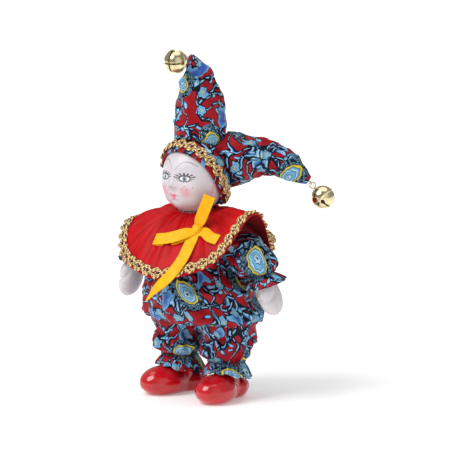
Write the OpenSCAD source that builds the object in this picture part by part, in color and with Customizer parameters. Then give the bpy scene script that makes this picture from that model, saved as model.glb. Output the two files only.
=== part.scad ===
// Standing harlequin doll: porcelain head, hands and shoes on a stuffed satin body.
// Millimetres. +Z is up, the doll faces -Y, and its left side is at +X.
// The origin is on the floor under the middle of the doll's outline.

/* [Shoes] */
// Length of a shoe from heel to toe
shoe_len = 40; // [36:1:43]
// Distance from the middle of the ankle back to the heel
heel_back = 16; // [13:0.5:18]
// Width across the round toe
toe_w = 20; // [17:0.5:21]
// Length of the round toe
toe_len = 26; // [20:0.5:28]
// Height of the round toe
toe_h = 14.6; // [12:0.2:15]
// Width across the heel
heel_w = 15; // [12:0.5:17]
// Height of the heel
heel_h = 10.5; // [9:0.5:13]
// Width of the waist between toe and heel
waist_w = 13; // [11:0.5:14]
// Angle that each shoe turns out
shoe_splay = 12; // [6:1:20]
// Diameter of the shank that stands in the trouser leg
shank_d = 13; // [10:0.5:14]

/* [Legs] */
// Height of the hip axis above the floor
hip_z = 42; // [41:0.5:46]
// Diameter of the round top of a leg
thigh_d = 31; // [28:0.2:32]
// Diameter of the trouser leg above its cuff
knee_d = 26; // [23:0.5:27]
// Diameter where elastic gathers the trouser cuff
cuff_d = 17.4; // [16.5:0.2:20]
// Diameter of the ruffle below the cuff
ruffle_d = 25; // [22:0.5:27]
// Length of the ruffle below the cuff
ruffle_len = 4.5; // [3:0.5:5]
// How much lower the ruffle hangs beside the heel than over the toe
ruffle_dip = 3.4; // [0:0.2:3.8]
// Number of gathers round a cuff
cuff_gathers = 12; // [8:1:14]

/* [Torso] */
// Height of the hem above the hip axis, negative when below it
hem_rise = -1.5; // [-2:0.5:1]
// Width at the hips
hips_w = 68; // [66:1:72]
// Depth at the hips
hips_deep = 51; // [46:1:56]
// How far the hips and legs sit behind the middle of the body
hips_back = 2.2; // [0:0.2:3]
// Height of the shoulder axis above the hips
trunk_h = 36.5; // [34:0.5:40]
// Width between the shoulder seams
shoulder_w = 42; // [40:1:46]
// Height of the neck rim above the shoulder axis
neck_rise = 16.5; // [15:0.5:20]
// Diameter of the neck opening
neck_hole_d = 15.8; // [15.2:0.2:17]
// How far the neck sits in front of the middle of the body
neck_front = 2.5; // [1:0.5:4]

/* [Arms] */
// Sideways reach of a sleeve from seam to cuff
sleeve_out = 20; // [18:0.5:22]
// Drop of a sleeve from seam to cuff
sleeve_drop = 10.5; // [9:0.5:13]
// Diameter of the puffed sleeve
sleeve_d = 20; // [17:0.5:21]
// Diameter where elastic gathers the sleeve
wrist_d = 12; // [11:0.5:13]
// Diameter of the sleeve frill
frill_d = 18.4; // [15:0.2:20]
// Length of the sleeve frill
frill_len = 3.6; // [3:0.2:6]
// Angle of the cuff from upright
arm_splay = 16; // [10:1:30]
// Swing of the left arm behind the body and of the right arm in front of it
arm_swing = 10; // [0:1:16]
// Length of a hand below its cuff
hand_len = 22; // [18:0.5:24]
// Width of a hand
hand_w = 13.8; // [11:0.2:15]
// Thickness of a hand
hand_t = 9.4; // [8:0.2:10.4]
// Diameter of the shank that stands in the sleeve
wrist_shank_d = 7.6; // [6:0.2:8.2]

/* [Head] */
// Height of the middle of the head above the neck rim
head_rise = 19.8; // [19:0.2:23]
// How far the head sits in front of the middle of the body
head_front = 4; // [2:0.5:5]
// Width of the head
head_w = 33; // [31:0.5:35]
// Depth of the head without the nose
head_deep = 34; // [32:0.5:36]
// Height of the head
head_h = 37.6; // [36:0.2:39]
// Thickness of the porcelain
porcelain = 2.5; // [2:0.1:3.2]
// Diameter of the neck
neck_d = 14.4; // [13:0.2:14.6]
// Thickness of the chin elastic
chin_cord_d = 0.9; // [0.6:0.1:1.2]

/* [Cap] */
// Thickness of the cap cloth
cap_cloth = 1.4; // [1:0.1:2]
// Tilt of the face opening below level
cap_tilt = 29; // [27:1:34]
// Width of the gold braid
braid_w = 6.2; // [5:0.2:7]
// Thickness of the gold braid
braid_t = 1.3; // [1:0.1:1.6]
// Turn of the two horns about the upright axis
horn_turn = 42; // [38:1:46]
// Height of the standing horn's tip above the middle of the head
horn_up = 61.3; // [57:0.5:66]
// Widest diameter of the standing horn
horn_up_d = 27.6; // [25:0.2:29]
// Reach of the drooping horn's tip from the middle of the head
horn_out = 58; // [54:0.5:63]
// Drop of the drooping horn's tip below the middle of the head
horn_drop = 3; // [0:0.5:8]
// Widest height of the drooping horn
horn_out_d = 29; // [26:0.5:31]

/* [Bells] */
// Diameter of a bell
bell_d = 12; // [10:0.5:13]
// Thickness of the bell's brass
brass = 0.5; // [0.4:0.05:0.8]
// Width of the crossed slots
slot_w = 1; // [0.6:0.1:1.4]
// Diameter of the round slot ends
slot_end_d = 2.2; // [1.6:0.1:2.6]
// Diameter of the loose pellet
pellet_d = 3.4; // [2.8:0.1:4]
// Thickness of the wire loop
loop_wire = 0.8; // [0.6:0.1:1]

/* [Collar] */
// Radius of the collar's edge
collar_r = 39; // [36:0.5:41]
// Thickness of the collar
collar_t = 0.9; // [0.6:0.1:1.2]
// Drop of the collar's edge below the neck rim at the middle height
collar_drop = 16; // [13:0.5:17]
// How much lower the edge hangs in front than behind
collar_slope = 24; // [16:1:26]
// Rise of the edge where the left arm pushes it up
collar_arch = 20; // [8:0.5:21]
// Number of soft flutes round the edge
flutes = 7; // [5:1:9]
// Height of the flutes
flute_h = 0.8; // [0.4:0.1:1.6]
// Number of gathers at the neck
neck_gathers = 15; // [12:1:18]

/* [Bow] */
// Width of the ribbon
ribbon_w = 6; // [5:0.5:7]
// Thickness of the ribbon
ribbon_t = 0.5; // [0.4:0.05:0.7]
// Length of the loop that stands beside the cap
upper_loop = 17; // [13:0.5:19]
// Length of the loop that lies along the front
side_loop = 18.5; // [15:0.5:21]
// Length of the short tail
short_tail = 10; // [7:0.5:11]
// Length of the pointed tail below the collar's edge
long_tail = 21; // [17:0.5:25]

/* [Fit] */
// Gap between pieces that are sewn or tied together
seat = 0.25; // [0.2:0.05:0.35]
// Running gap between a leg and its socket
hip_gap = 0.7; // [0.6:0.1:1]
// Diameter of a tying thread
thread_d = 0.8; // [0.6:0.1:1]

/* [Hidden] */
$fn = 48;

satin_print = "#7c2a3a";
satin_red = "#c8141f";
gold = "#c79a3c";
porcelain_white = "#f1ece8";
glaze_red = "#c5121c";
ribbon_yellow = "#f5b223";
brass_colour = "#d9b45a";
thread_white = "#e8e2d6";

// Place of the body's upright axis from the origin
body_axis = [-1.2, -1.3, 0];
shoulder_z = hip_z + trunk_h;
neck_z = shoulder_z + neck_rise;
head_mid = [0, -head_front, neck_z + head_rise];
neck_mid = [0, -neck_front, 0];
leg_x = thigh_d / 2 + 0.5;
seam_x = shoulder_w / 2;

function unit(v) = v / norm(v);
function mix(a, b, t) = a + (b - a) * t;
function bump(x, w) = exp(-(x / w) * (x / w));
function turn_between(a, mid) = (a - mid + 540) % 360 - 180;
function mean(pts) = [for (p = pts) 1] * pts / len(pts);
function steps(a, b, n) = [for (i = [0:n]) mix(a, b, i / n)];
function blend_max(a, b, c) = pow(pow(a, 6) + pow(b, 6) + pow(c, 6), 1 / 6);

// Smooth curve through a few stations, u from 0 to 1
function curve(p, u) = let (
        n = len(p) - 1,
        k = min(n - 1, floor(u * n)),
        t = u * n - k,
        b = p[k],
        c = p[k + 1],
        a = k > 0 ? p[k - 1] : 2 * b - c,
        d = k + 2 <= n ? p[k + 2] : 2 * c - b)
    0.5 * (2 * b + (c - a) * t + (2 * a - 5 * b + 4 * c - d) * t * t + (3 * b - a - 3 * c + d) * t * t * t);
function heading(p, u) = unit(curve(p, min(1, u + 0.01)) - curve(p, max(0, u - 0.01)));

// Ring of n points about c, square to t, with half sizes ra along e and rb across it
function hoop(c, t, e, ra, rb, n) = let (f = cross(t, e))
    [for (j = [0:n - 1]) let (a = 360 * j / n) c + ra * cos(a) * e + rb * sin(a) * f];
function wall(a, b, j, n) = let (k = (j + 1) % n) [[a + j, b + j, b + k], [a + j, b + k, a + k]];

// Closed solid through a stack of rings
module loft(rings) {
    m = len(rings);
    n = len(rings[0]);
    polyhedron(
        points = concat([for (r = rings) each r], [mean(rings[0]), mean(rings[m - 1])]),
        faces = concat(
            [for (i = [0:m - 2], j = [0:n - 1]) each wall(i * n, i * n + n, j, n)],
            [for (j = [0:n - 1]) [m * n, j, (j + 1) % n]],
            [for (j = [0:n - 1]) [m * n + 1, m * n - n + (j + 1) % n, m * n - n + j]]));
}

// Closed solid through sections that run round a loop
module band(sections) {
    m = len(sections);
    n = len(sections[0]);
    polyhedron(
        points = [for (s = sections) each s],
        faces = [for (i = [0:m - 1], j = [0:n - 1]) each wall(i * n, ((i + 1) % m) * n, j, n)]);
}

module ring_of_thread(r, d) rotate_extrude() translate([r, 0]) circle(d / 2, $fn = 24);

// Turns the Z axis to the direction d
module aim(d) {
    rotate([0, acos(d[2] / norm(d)), atan2(d[1], d[0])]) children();
}

module on_body() translate(body_axis) children();

// Leg: a ball that turns in the torso, a baggy trouser and a ruffle

ball_sides = 2 * cuff_gathers;
function ball_ring(r, a) = hoop([0, 0, r * cos(a)], [0, 0, 1], [1, 0, 0], r * sin(a), r * sin(a), ball_sides);
thigh_r = thigh_d / 2;
ruffle_z = toe_h + 0.9;
cuff_z = ruffle_z + ruffle_len;
bore_top_z = cuff_z + 6;
shank_bore_r = shank_d / 2 + 0.6;
// ring of gathered cloth that hangs lower by dip everywhere but in front
function gathered(z, r, pleat, dip = 0) = [for (j = [0:ball_sides - 1]) let (
        a = 360 * j / ball_sides,
        k = r * (1 + pleat * cos(cuff_gathers * a)))
    [k * cos(a), k * sin(a), z - hip_z - dip * (1 - bump(turn_between(a, -90), 62))]];

module trouser_leg() {
    ball = [for (a = steps(132, 6, 9)) ball_ring(thigh_r, a)];
    color(satin_print) loft(concat(
        [gathered(bore_top_z, shank_bore_r, 0),
         gathered(cuff_z + 0.6, shank_bore_r, 0),
         gathered(ruffle_z, ruffle_d / 2 - 0.9, 0.05, ruffle_dip),
         gathered(ruffle_z + 0.5, ruffle_d / 2, 0.05, ruffle_dip),
         gathered(mix(ruffle_z, cuff_z, 0.6), mix(ruffle_d, cuff_d, 0.6) / 2, 0.06, ruffle_dip * 0.3),
         gathered(cuff_z, cuff_d / 2, 0.04),
         gathered(cuff_z + 1.8, mix(cuff_d, knee_d, 0.36) / 2, 0.05),
         gathered(cuff_z + 4.4, knee_d / 2, 0.035),
         gathered(hip_z - thigh_r * 0.96, knee_d / 2, 0.02)],
        ball));
}

module ankle_elastic() color(thread_white)
    translate([0, 0, cuff_z - hip_z]) ring_of_thread(cuff_d / 2 * 1.04 + thread_d / 2 + 0.15, thread_d);

// Shoe: a long round clown toe, a narrow waist and a small heel, with a shank that the trouser is tied to

shoe_rings = 18;
shoe_sides = 20;
shank_sides = 20;
shank_top_z = bore_top_z - 0.8;
groove_z = cuff_z + 2;
toe_y = -(shoe_len - heel_back - toe_len / 2);
heel_y = heel_back - heel_w / 2;
belt_z = 6.2;
function dome(y, mid, r) = sqrt(max(0, 1 - pow((y - mid) / r, 2)));
function waist(y) = y > toe_y && y < heel_y ? 1 : 0;
function shoe_ring(y) = let (
        t = dome(y, toe_y, toe_len / 2),
        h = dome(y, heel_y, heel_w / 2),
        w = waist(y),
        half = blend_max(toe_w / 2 * t, heel_w / 2 * h, waist_w / 2 * w),
        top = blend_max((toe_h - belt_z) * t, (heel_h - belt_z) * h, (heel_h - belt_z) * w),
        low = (belt_z + 1) * min(1, blend_max(t, h, w)))
    [for (j = [0:shoe_sides - 1]) let (a = 360 * j / shoe_sides)
        [-half * cos(a), y, belt_z + (sin(a) > 0 ? top : low) * sin(a)]];

module shank() {
    r = shank_d / 2;
    loft([for (s = [[5, r], [groove_z - 1.2, r], [groove_z - 0.5, r - 0.9], [groove_z + 0.5, r - 0.9],
                    [groove_z + 1.2, r], [shank_top_z, r]])
        hoop([0, 0, s[0]], [0, 0, 1], [1, 0, 0], s[1], s[1], shank_sides)]);
}

module shoe() {
    mid = (heel_back * 2 - shoe_len) / 2;
    color(glaze_red) difference() {
        union() {
            loft([for (a = steps(8, 172, shoe_rings)) shoe_ring(mid - shoe_len / 2 * cos(a))]);
            shank();
        }
        translate([0, mid, -5]) cube([toe_w * 2, shoe_len * 2, 10], center = true);
    }
}

module ankle_tie() color(thread_white)
    translate([0, 0, groove_z]) ring_of_thread(shank_d / 2 - 0.9 + thread_d / 2 + 0.1, thread_d);

module leg_side(side) on_body() translate([side * leg_x, hips_back, hip_z]) children();
module foot_side(side) on_body() translate([side * leg_x, hips_back, 0]) rotate(side * shoe_splay) children();

// Torso: a stuffed blouse that closes round the neck above and takes the legs in round sockets below

torso_pleats = 18;
torso_sides = 2 * torso_pleats;
shoulder_bar_r = 7;
hem_z = hip_z + hem_rise;
// height, half width, half depth and depth of the pleats at each level
torso_stations = [
    [hem_z, hips_w / 2 - 1.2, hips_deep / 2 - 2, 0.02],
    [hip_z + 2, hips_w / 2, hips_deep / 2, 0.03],
    [mix(hip_z, shoulder_z, 0.27), hips_w / 2 - 1.5, hips_deep / 2 + 1, 0.02],
    [mix(hip_z, shoulder_z, 0.5), hips_w / 2 - 4, hips_deep / 2 + 1, 0.012],
    [mix(hip_z, shoulder_z, 0.77), shoulder_w / 2 - 0.3, hips_deep / 2 - 2, 0.01],
    [shoulder_z, shoulder_w / 2 - 1.8, hips_deep / 2 - 6, 0.02],
    [mix(shoulder_z, neck_z, 0.45), shoulder_w / 2 - 5.5, hips_deep / 2 - 9.5, 0.03],
    [mix(shoulder_z, neck_z, 0.72), neck_hole_d / 2 + 3.4, neck_hole_d / 2 + 3.4, 0.03],
    [neck_z - 2, neck_hole_d / 2 + 1.2, neck_hole_d / 2 + 1.2, 0.02],
    [neck_z, neck_hole_d / 2 + 1.8, neck_hole_d / 2 + 1.8, 0.02]];
neck_socket_z = shoulder_z + shoulder_bar_r + 0.6;
function torso_ring(s) = let (
        rise = max(0, (s[0] - hip_z) / (neck_z - hip_z)),
        front = neck_front * pow(rise, 1.5) - hips_back * pow(1 - rise, 2))
    [for (j = [0:torso_sides - 1]) let (a = 360 * j / torso_sides, k = 1 + s[3] * cos(torso_pleats * a))
        [s[1] * k * cos(a), s[2] * k * sin(a) - front, s[0]]];
function neck_ring(z) = let (r = neck_hole_d / 2)
    hoop(neck_mid + [0, 0, z], [0, 0, 1], [1, 0, 0], r, r, torso_sides);

socket_edge = 6;

module torso_cloth() {
    last = len(torso_stations) - 1;
    rings = concat(
        [for (u = steps(0, 1 - 2 / last, 11)) torso_ring(curve(torso_stations, u))],
        [torso_ring(torso_stations[last - 1]), torso_ring(torso_stations[last])]);
    on_body() color(satin_print) difference() {
        union() {
            loft(concat(rings, [neck_ring(neck_z), neck_ring(neck_socket_z)]));
            translate([-seam_x, 0, shoulder_z]) rotate([0, 90, 0])
                cylinder(r = shoulder_bar_r, h = shoulder_w, $fn = 12);
        }
        for (side = [-1, 1]) translate([side * leg_x, hips_back, hip_z])
            loft([for (a = steps(180 - socket_edge, socket_edge, 10)) ball_ring(thigh_r + hip_gap, a)]);
    }
}

module neck_tie() on_body() color(thread_white) translate(neck_mid + [0, 0, neck_z - 2])
    ring_of_thread((neck_hole_d / 2 + 1.2) * 1.02 + thread_d / 2 + 0.3, thread_d);

// Arm: a puffed sleeve that starts flat at the shoulder seam and ends in a gathered cuff and a frill

sleeve_gathers = 9;
sleeve_sides = 2 * sleeve_gathers;
cuff_dir = [sin(arm_splay), 0, -cos(arm_splay)];
cuff_mid = [sleeve_out, 0, -sleeve_drop];
// place along the sleeve and diameter there, from the seam to the cuff
sleeve_stations = [
    [seat, 0, 0, shoulder_bar_r * 1.8],
    [sleeve_out * 0.34, 0, -sleeve_drop * 0.02, sleeve_d * 0.88],
    [sleeve_out * 0.68, 0, -sleeve_drop * 0.31, sleeve_d],
    [sleeve_out * 0.94, 0, -sleeve_drop * 0.62, sleeve_d * 0.9],
    concat(cuff_mid, [wrist_d])];
wrist_bore_r = wrist_shank_d / 2 + 0.6;
function pleated(c, t, r, pleat) = [for (j = [0:sleeve_sides - 1]) let (
        a = 360 * j / sleeve_sides,
        k = r * (1 + pleat * cos(sleeve_gathers * a)))
    c + k * cos(a) * [0, 1, 0] + k * sin(a) * cross(t, [0, 1, 0])];
function xyz(s) = [s[0], s[1], s[2]];
sleeve_path = [for (s = sleeve_stations) xyz(s)];
function sleeve_ring(u) = let (
        s = curve(sleeve_stations, u),
        t = u == 0 ? [1, 0, 0] : heading(sleeve_path, u))
    pleated(xyz(s), t, s[3] / 2, 0.02 + 0.04 * u * u);

module sleeve() color(satin_print) loft(concat(
    [for (u = steps(0, 0.9, 10)) sleeve_ring(u)],
    [pleated(cuff_mid - cuff_dir * thread_d, cuff_dir, wrist_d / 2, 0.04),
     pleated(cuff_mid + cuff_dir * thread_d, cuff_dir, wrist_d / 2, 0.04),
     pleated(cuff_mid + cuff_dir * frill_len * 0.5, cuff_dir, mix(wrist_d, frill_d, 0.6) / 2, 0.06),
     pleated(cuff_mid + cuff_dir * frill_len, cuff_dir, frill_d / 2, 0.06),
     pleated(cuff_mid + cuff_dir * (frill_len + 0.4), cuff_dir, frill_d / 2 - 0.8, 0.06),
     pleated(cuff_mid + cuff_dir * 0.6, cuff_dir, wrist_bore_r, 0),
     pleated(cuff_mid - cuff_dir * 6, cuff_dir, wrist_bore_r, 0)]));

module at_cuff(d) translate(cuff_mid + cuff_dir * d) aim(cuff_dir) children();

module cuff_elastic() color(thread_white)
    at_cuff(0) ring_of_thread(wrist_d / 2 * 1.04 + thread_d / 2 + 0.2, thread_d);

// Hand: a porcelain mitten with a thumb on the side towards the front

hand_sides = 16;
wrist_groove = -3;
// distance below the cuff, half width and half thickness
hand_stations = [
    [-5.4, wrist_shank_d / 2, wrist_shank_d / 2],
    [wrist_groove - 1, wrist_shank_d / 2, wrist_shank_d / 2],
    [wrist_groove, wrist_shank_d / 2 - 0.7, wrist_shank_d / 2 - 0.7],
    [wrist_groove + 1, wrist_shank_d / 2, wrist_shank_d / 2],
    [2, wrist_shank_d / 2, wrist_shank_d / 2],
    [hand_len * 0.27, hand_w * 0.38, hand_t * 0.46],
    [hand_len * 0.45, hand_w * 0.48, hand_t * 0.5],
    [hand_len * 0.66, hand_w * 0.5, hand_t * 0.5],
    [hand_len * 0.84, hand_w * 0.42, hand_t * 0.42],
    [hand_len * 0.95, hand_w * 0.26, hand_t * 0.27],
    [hand_len, hand_w * 0.1, hand_t * 0.1]];
thumb_at = 0.56;
thumb_out = 2.6;
function hand_ring(s) = let (
        c = cuff_mid + cuff_dir * s[0],
        thumb = thumb_out * bump(s[0] / hand_len - thumb_at, 0.17))
    [for (j = [0:hand_sides - 1]) let (a = 360 * j / hand_sides, push = thumb * bump(a - 160, 34))
        c + (s[1] * cos(a) - push) * [0, 1, 0] + (s[2] * sin(a) + 0.4 * push) * cross(cuff_dir, [0, 1, 0])];

module hand() color(porcelain_white)
    loft([for (u = steps(0, 1, 20)) hand_ring(curve(hand_stations, u))]);

module wrist_tie() color(thread_white)
    at_cuff(wrist_groove) ring_of_thread(wrist_shank_d / 2 - 0.7 + thread_d / 2 * 0.7 + 0.15, thread_d * 0.7);

module arm_side(side) on_body() translate([side * seam_x, 0, shoulder_z])
    rotate([side * arm_swing, 0, 0]) mirror([side < 0 ? 1 : 0, 0, 0]) children();

// Head: a hollow porcelain shell with a modelled face, open at the neck

head_sides = 36;
head_half = [head_w, head_deep, head_h] / 2;
function egg(d, grow) = 1 / norm([for (k = [0:2]) d[k] / (head_half[k] + grow)]);
// angle of a direction round from the face, and its height angle
function round_angle(d) = atan2(d[0], -d[1]);
function height_angle(d) = asin(d[2]);
// what the face adds to the plain egg: nose, cheeks, lips, chin and eye hollows
function face(d) = let (r = round_angle(d), h = height_angle(d))
    2.3 * bump(r, 8) * bump(h + 6, 8)
    + 0.8 * (bump(r - 32, 17) + bump(r + 32, 17)) * bump(h + 16, 15)
    - 0.8 * (bump(r - 24, 11) + bump(r + 24, 11)) * bump(h - 8, 9)
    + 0.7 * bump(r, 11) * bump(h + 31, 6)
    + 1.2 * bump(r, 19) * bump(h + 46, 10)
    - 1.3 * bump(h + 50, 22) * (1 - bump(r, 60));
function head_dir(lat, lon) = [sin(lon) * cos(lat), -cos(lon) * cos(lat), sin(lat)];
function head_r(d) = egg(d, 0) + face(d);
function head_ring(lat, grow) = [for (j = [0:head_sides - 1]) let (d = head_dir(lat, 360 * j / head_sides))
    head_mid + d * (grow == 0 ? head_r(d) : egg(d, grow))];
function neck_hoop(z, r) = [for (j = [0:head_sides - 1]) let (a = 360 * j / head_sides)
    neck_mid + [r * sin(a), -r * cos(a), z]];
neck_low_z = neck_socket_z + 0.5;
neck_bore_r = neck_d / 2 - porcelain * 0.9;
jaw_lat = -60;
head_lats = concat([for (lat = [jaw_lat:6:48]) lat], [56, 64, 72, 80, 87]);

module head_shell() on_body() color(porcelain_white) loft(concat(
    [for (lat = [84, 60, 35, 10, -15, -40, -58]) head_ring(lat, -porcelain)],
    [neck_hoop(neck_z - 1, neck_bore_r), neck_hoop(neck_low_z, neck_bore_r),
     neck_hoop(neck_low_z, neck_d / 2), neck_hoop(neck_z - 3, neck_d / 2), neck_hoop(neck_z + 2, neck_d / 2)],
    [for (lat = head_lats) head_ring(lat, 0)]));

// Cap: a hood over the back of the head, open round the face along a tilted edge

hood_sides = 36;
hood_in = seat * 2;
hood_out = hood_in + cap_cloth;
face_dir = [0, -cos(cap_tilt), -sin(cap_tilt)];
hood_e = [1, 0, 0];
hood_f = cross(face_dir, hood_e);
braid_half = braid_w / head_w * 180 / PI;
hood_rim = 3.5;
// angle of the braid's middle line from the back of the hood: it swings back at the nape
function braid_line(lon) = 88.5 - 20 * pow((1 - sin(lon)) / 2, 5);
function hood_dir(turn, lon) = -cos(turn) * face_dir + sin(turn) * (cos(lon) * hood_e + sin(lon) * hood_f);
function hood_point(turn, lon, grow) = let (d = hood_dir(turn, lon)) head_mid + d * egg(d, grow);
function hood_ring(part, grow) = [for (j = [0:hood_sides - 1]) let (lon = 360 * j / hood_sides)
    hood_point(part * (braid_line(lon) + braid_half + hood_rim), lon, grow)];

module hat_cap() on_body() color(satin_print) loft(concat(
    [for (u = steps(0.06, 1, 6)) hood_ring(u, hood_out)],
    [for (u = steps(1, 0.06, 6)) hood_ring(u, hood_in)]));

module hat_braid() on_body() color(gold) band([for (j = [0:hood_sides - 1]) let (
        lon = 360 * j / hood_sides,
        mid = braid_line(lon),
        low = hood_out + 0.1)
    [hood_point(mid + braid_half, lon, low + braid_t * 0.5),
     hood_point(mid, lon, low + braid_t),
     hood_point(mid - braid_half, lon, low + braid_t * 0.5),
     hood_point(mid - braid_half, lon, low),
     hood_point(mid, lon, low),
     hood_point(mid + braid_half, lon, low)]]);

// Chin elastic: a thin cord from one edge of the hood under the chin to the other
chin_span = 76.5;
function chin_point(a) = let (d = unit([sin(a), -0.2 - 0.22 * pow(cos(a), 3), 0.12 - cos(a)]))
    head_mid + d * (head_r(d) + chin_cord_d / 2 + 0.2);

module chin_elastic() on_body() color("#e79aa4") loft([for (a = steps(-chin_span, chin_span, 30)) let (
        t = unit(chin_point(a + 1) - chin_point(a - 1)),
        e = unit(cross(t, chin_point(a) - head_mid)))
    hoop(chin_point(a), t, e, chin_cord_d / 2, chin_cord_d / 2, 6)]);

// Horns: stuffed cones that stand on the hood, in a frame turned about the upright axis

horn_sides = 18;
hood_half = [max(head_half[0], head_half[1]) + hood_out + seat, head_half[2] + hood_out + seat];
stand_mid = [2.5, 4.7];
stand_foot_r = 10.8;
stand_r = horn_up_d / 2;
// height of the hood under a point, and reach of the hood and the standing horn at a point
function hood_height(x, y) = hood_half[1] * sqrt(max(0, 1 - (x * x + y * y) / pow(hood_half[0], 2)));
function side_reach(y, z) = max(
    sqrt(max(0, (1 - pow(z / hood_half[1], 2)) * pow(hood_half[0], 2) - y * y)),
    z < 9 ? 0 : stand_mid[0] + sqrt(max(0, pow(stand_r + seat, 2) - pow(y - stand_mid[1], 2))));
// place of the middle line and diameter there, from the foot to the tip
stand_stations = [
    [2.5, 4.7, horn_up * 0.33, stand_r * 1.92],
    [3, 4.7, horn_up * 0.43, stand_r * 2],
    [2.7, 4.6, horn_up * 0.58, stand_r * 1.75],
    [2, 4.5, horn_up * 0.73, stand_r * 1.52],
    [1.2, 4.4, horn_up * 0.832, stand_r * 1.2],
    [0.4, 4.3, horn_up * 0.884, stand_r * 0.84],
    [-0.7, 4.2, horn_up * 0.935, stand_r * 0.54],
    [-1.8, 4.1, horn_up * 0.976, stand_r * 0.34],
    [-2.8, 4, horn_up, stand_r * 0.22]];
droop_mid = [3, 8];
droop_r = horn_out_d / 2;
droop_foot_r = droop_r * 0.84;
droop_tip = [horn_out, 3, -horn_drop];
droop_stations = [
    [horn_out * 0.38, 3, 8.6, droop_r * 1.9],
    [horn_out * 0.5, 3, 9.4, droop_r * 1.52],
    [horn_out * 0.61, 3, 8.9, droop_r * 1.28],
    [horn_out * 0.725, 3, 6.9, droop_r * 1.14],
    [horn_out * 0.82, 3, mix(7.3, -horn_drop, 0.32), droop_r * 1.08],
    [horn_out * 0.915, 3, mix(7.3, -horn_drop, 0.66), droop_r * 0.8],
    [horn_out * 0.97, 3, mix(7.3, -horn_drop, 0.88), droop_r * 0.5],
    concat(droop_tip, [droop_r * 0.3])];
function horn_rings(stations, e, n) = let (path = [for (s = stations) xyz(s)])
    [for (u = steps(0, 1, n)) let (s = curve(stations, u), t = heading(path, u))
        hoop(xyz(s), t, unit(e - t * (e * t)), s[3] / 2, s[3] / 2, horn_sides)];

module hat_frame() on_body() translate(head_mid) rotate(horn_turn) children();

module hat_right_horn() hat_frame() color(satin_print) loft(concat(
    [for (k = [0.25, 0.5, 0.75, 1]) [for (j = [0:horn_sides - 1]) let (
            a = 360 * j / horn_sides,
            x = stand_mid[0] + k * stand_foot_r * cos(a),
            y = stand_mid[1] + k * stand_foot_r * sin(a))
        [x, y, hood_height(x, y) + seat]]],
    horn_rings(stand_stations, [1, 0, 0], 11)));

module hat_left_horn() hat_frame() color(satin_print) loft(concat(
    [for (k = [0.25, 0.5, 0.75, 1]) [for (j = [0:horn_sides - 1]) let (
            a = 360 * j / horn_sides,
            y = droop_mid[0] + k * droop_foot_r * cos(a),
            z = droop_mid[1] + k * droop_r * sin(a))
        [side_reach(y, z) + seat, y, z]]],
    horn_rings(droop_stations, [0, 1, 0], 11)));

// Bells: slotted brass balls, each with a wire loop that a thread holds to a horn tip

bell_r = bell_d / 2;
loop_r = 1.6;
stitch_r = 1.15;
stitch_d = 0.45;
loop_at = bell_r + loop_r + loop_wire / 2 + 0.05;
stitch_at = loop_at + loop_r;
tip_at = stitch_at + stitch_r + stitch_d / 2 + 0.1;
stand_bell_dir = unit([-0.55, -0.82, -0.1]);
stand_tip = xyz(stand_stations[len(stand_stations) - 1]) + stand_bell_dir * stand_r * 0.11;
droop_bell_dir = unit([0.65, -0.15, -0.75]);

// Places a bell with its middle at the origin and its loop along +Z
module stand_bell() hat_frame() translate(stand_tip + stand_bell_dir * tip_at)
    aim(-stand_bell_dir) children();
module droop_bell() hat_frame() translate(droop_tip + droop_bell_dir * tip_at)
    aim(-droop_bell_dir) children();
// Lowest place of the pellet in a bell, straight below the bell's middle
pellet_low = bell_r - brass - pellet_d / 2 - 0.12;
module in_bell(tip, d) hat_frame() translate(tip + d * tip_at - [0, 0, pellet_low]) children();

module bell_shell() color(brass_colour) difference() {
    union() {
        sphere(bell_r);
        ring_of_thread(bell_r - 0.05, 0.7);
    }
    sphere(bell_r - brass);
    for (turn = [0, 90]) rotate(turn) {
        translate([0, 0, -bell_r]) cube([bell_r * 2.2, slot_w, bell_r * 1.4], center = true);
        for (side = [-1, 1]) translate([0, 0, -bell_r * 0.3]) rotate([0, side * 90, 0])
            cylinder(d = slot_end_d, h = bell_r * 2);
    }
}

module bell_loop() color(brass_colour)
    translate([0, 0, loop_at]) rotate([90, 0, 0]) ring_of_thread(loop_r, loop_wire);

module bell_thread() color(thread_white)
    translate([0, 0, stitch_at]) rotate([0, 90, 0]) ring_of_thread(stitch_r, stitch_d);

module bell_pellet() color("#8a8a88") sphere(d = pellet_d, $fn = 32);

// Collar: a satin ring gathered at the neck that falls in soft flutes, lower in front

collar_sides = 4 * neck_gathers;
collar_neck_r = neck_hole_d / 2 + 0.7;
collar_low_z = neck_z + seat * 1.6;
collar_fall = 1.7;
// the edge rises over the arms, most over the left one, and drops in a fold behind it
function edge_z(a) = collar_low_z - collar_drop - collar_slope / 2 * cos(a + 85)
    + collar_arch * (bump(turn_between(a, -2), 27) - 0.5 * bump(turn_between(a, 28), 12))
    + collar_arch * 0.5 * bump(turn_between(a, -160), 38)
    + flute_h * cos(flutes * a);
// point on the collar's underside, raised by lift, with k from 0 at the neck to 1 at the edge
function collar_point(a, k, lift) = let (
        r = mix(collar_neck_r, collar_r, k),
        fold = 0.45 * cos(neck_gathers * a) * k * exp(-4 * k) * 4)
    [r * cos(a), r * sin(a) - neck_front, mix(collar_low_z, edge_z(a), pow(k, collar_fall)) + fold + lift];
collar_steps = [0, 0.13, 0.36, 0.6, 0.82, 1];

module collar() on_body() color(satin_red) band([for (j = [0:collar_sides - 1]) let (
        a = 360 * j / collar_sides)
    concat(
        [for (i = [len(collar_steps) - 1:-1:0]) collar_point(a, collar_steps[i], 0)],
        [for (k = collar_steps) collar_point(a, k, collar_t)])]);

braid_seat = 0.35;
// share of the way from the neck that the braid's width takes along the slope of the edge
function braid_k(a) = braid_w / norm([collar_r - collar_neck_r, collar_fall * (edge_z(a) - collar_low_z)]);

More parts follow.
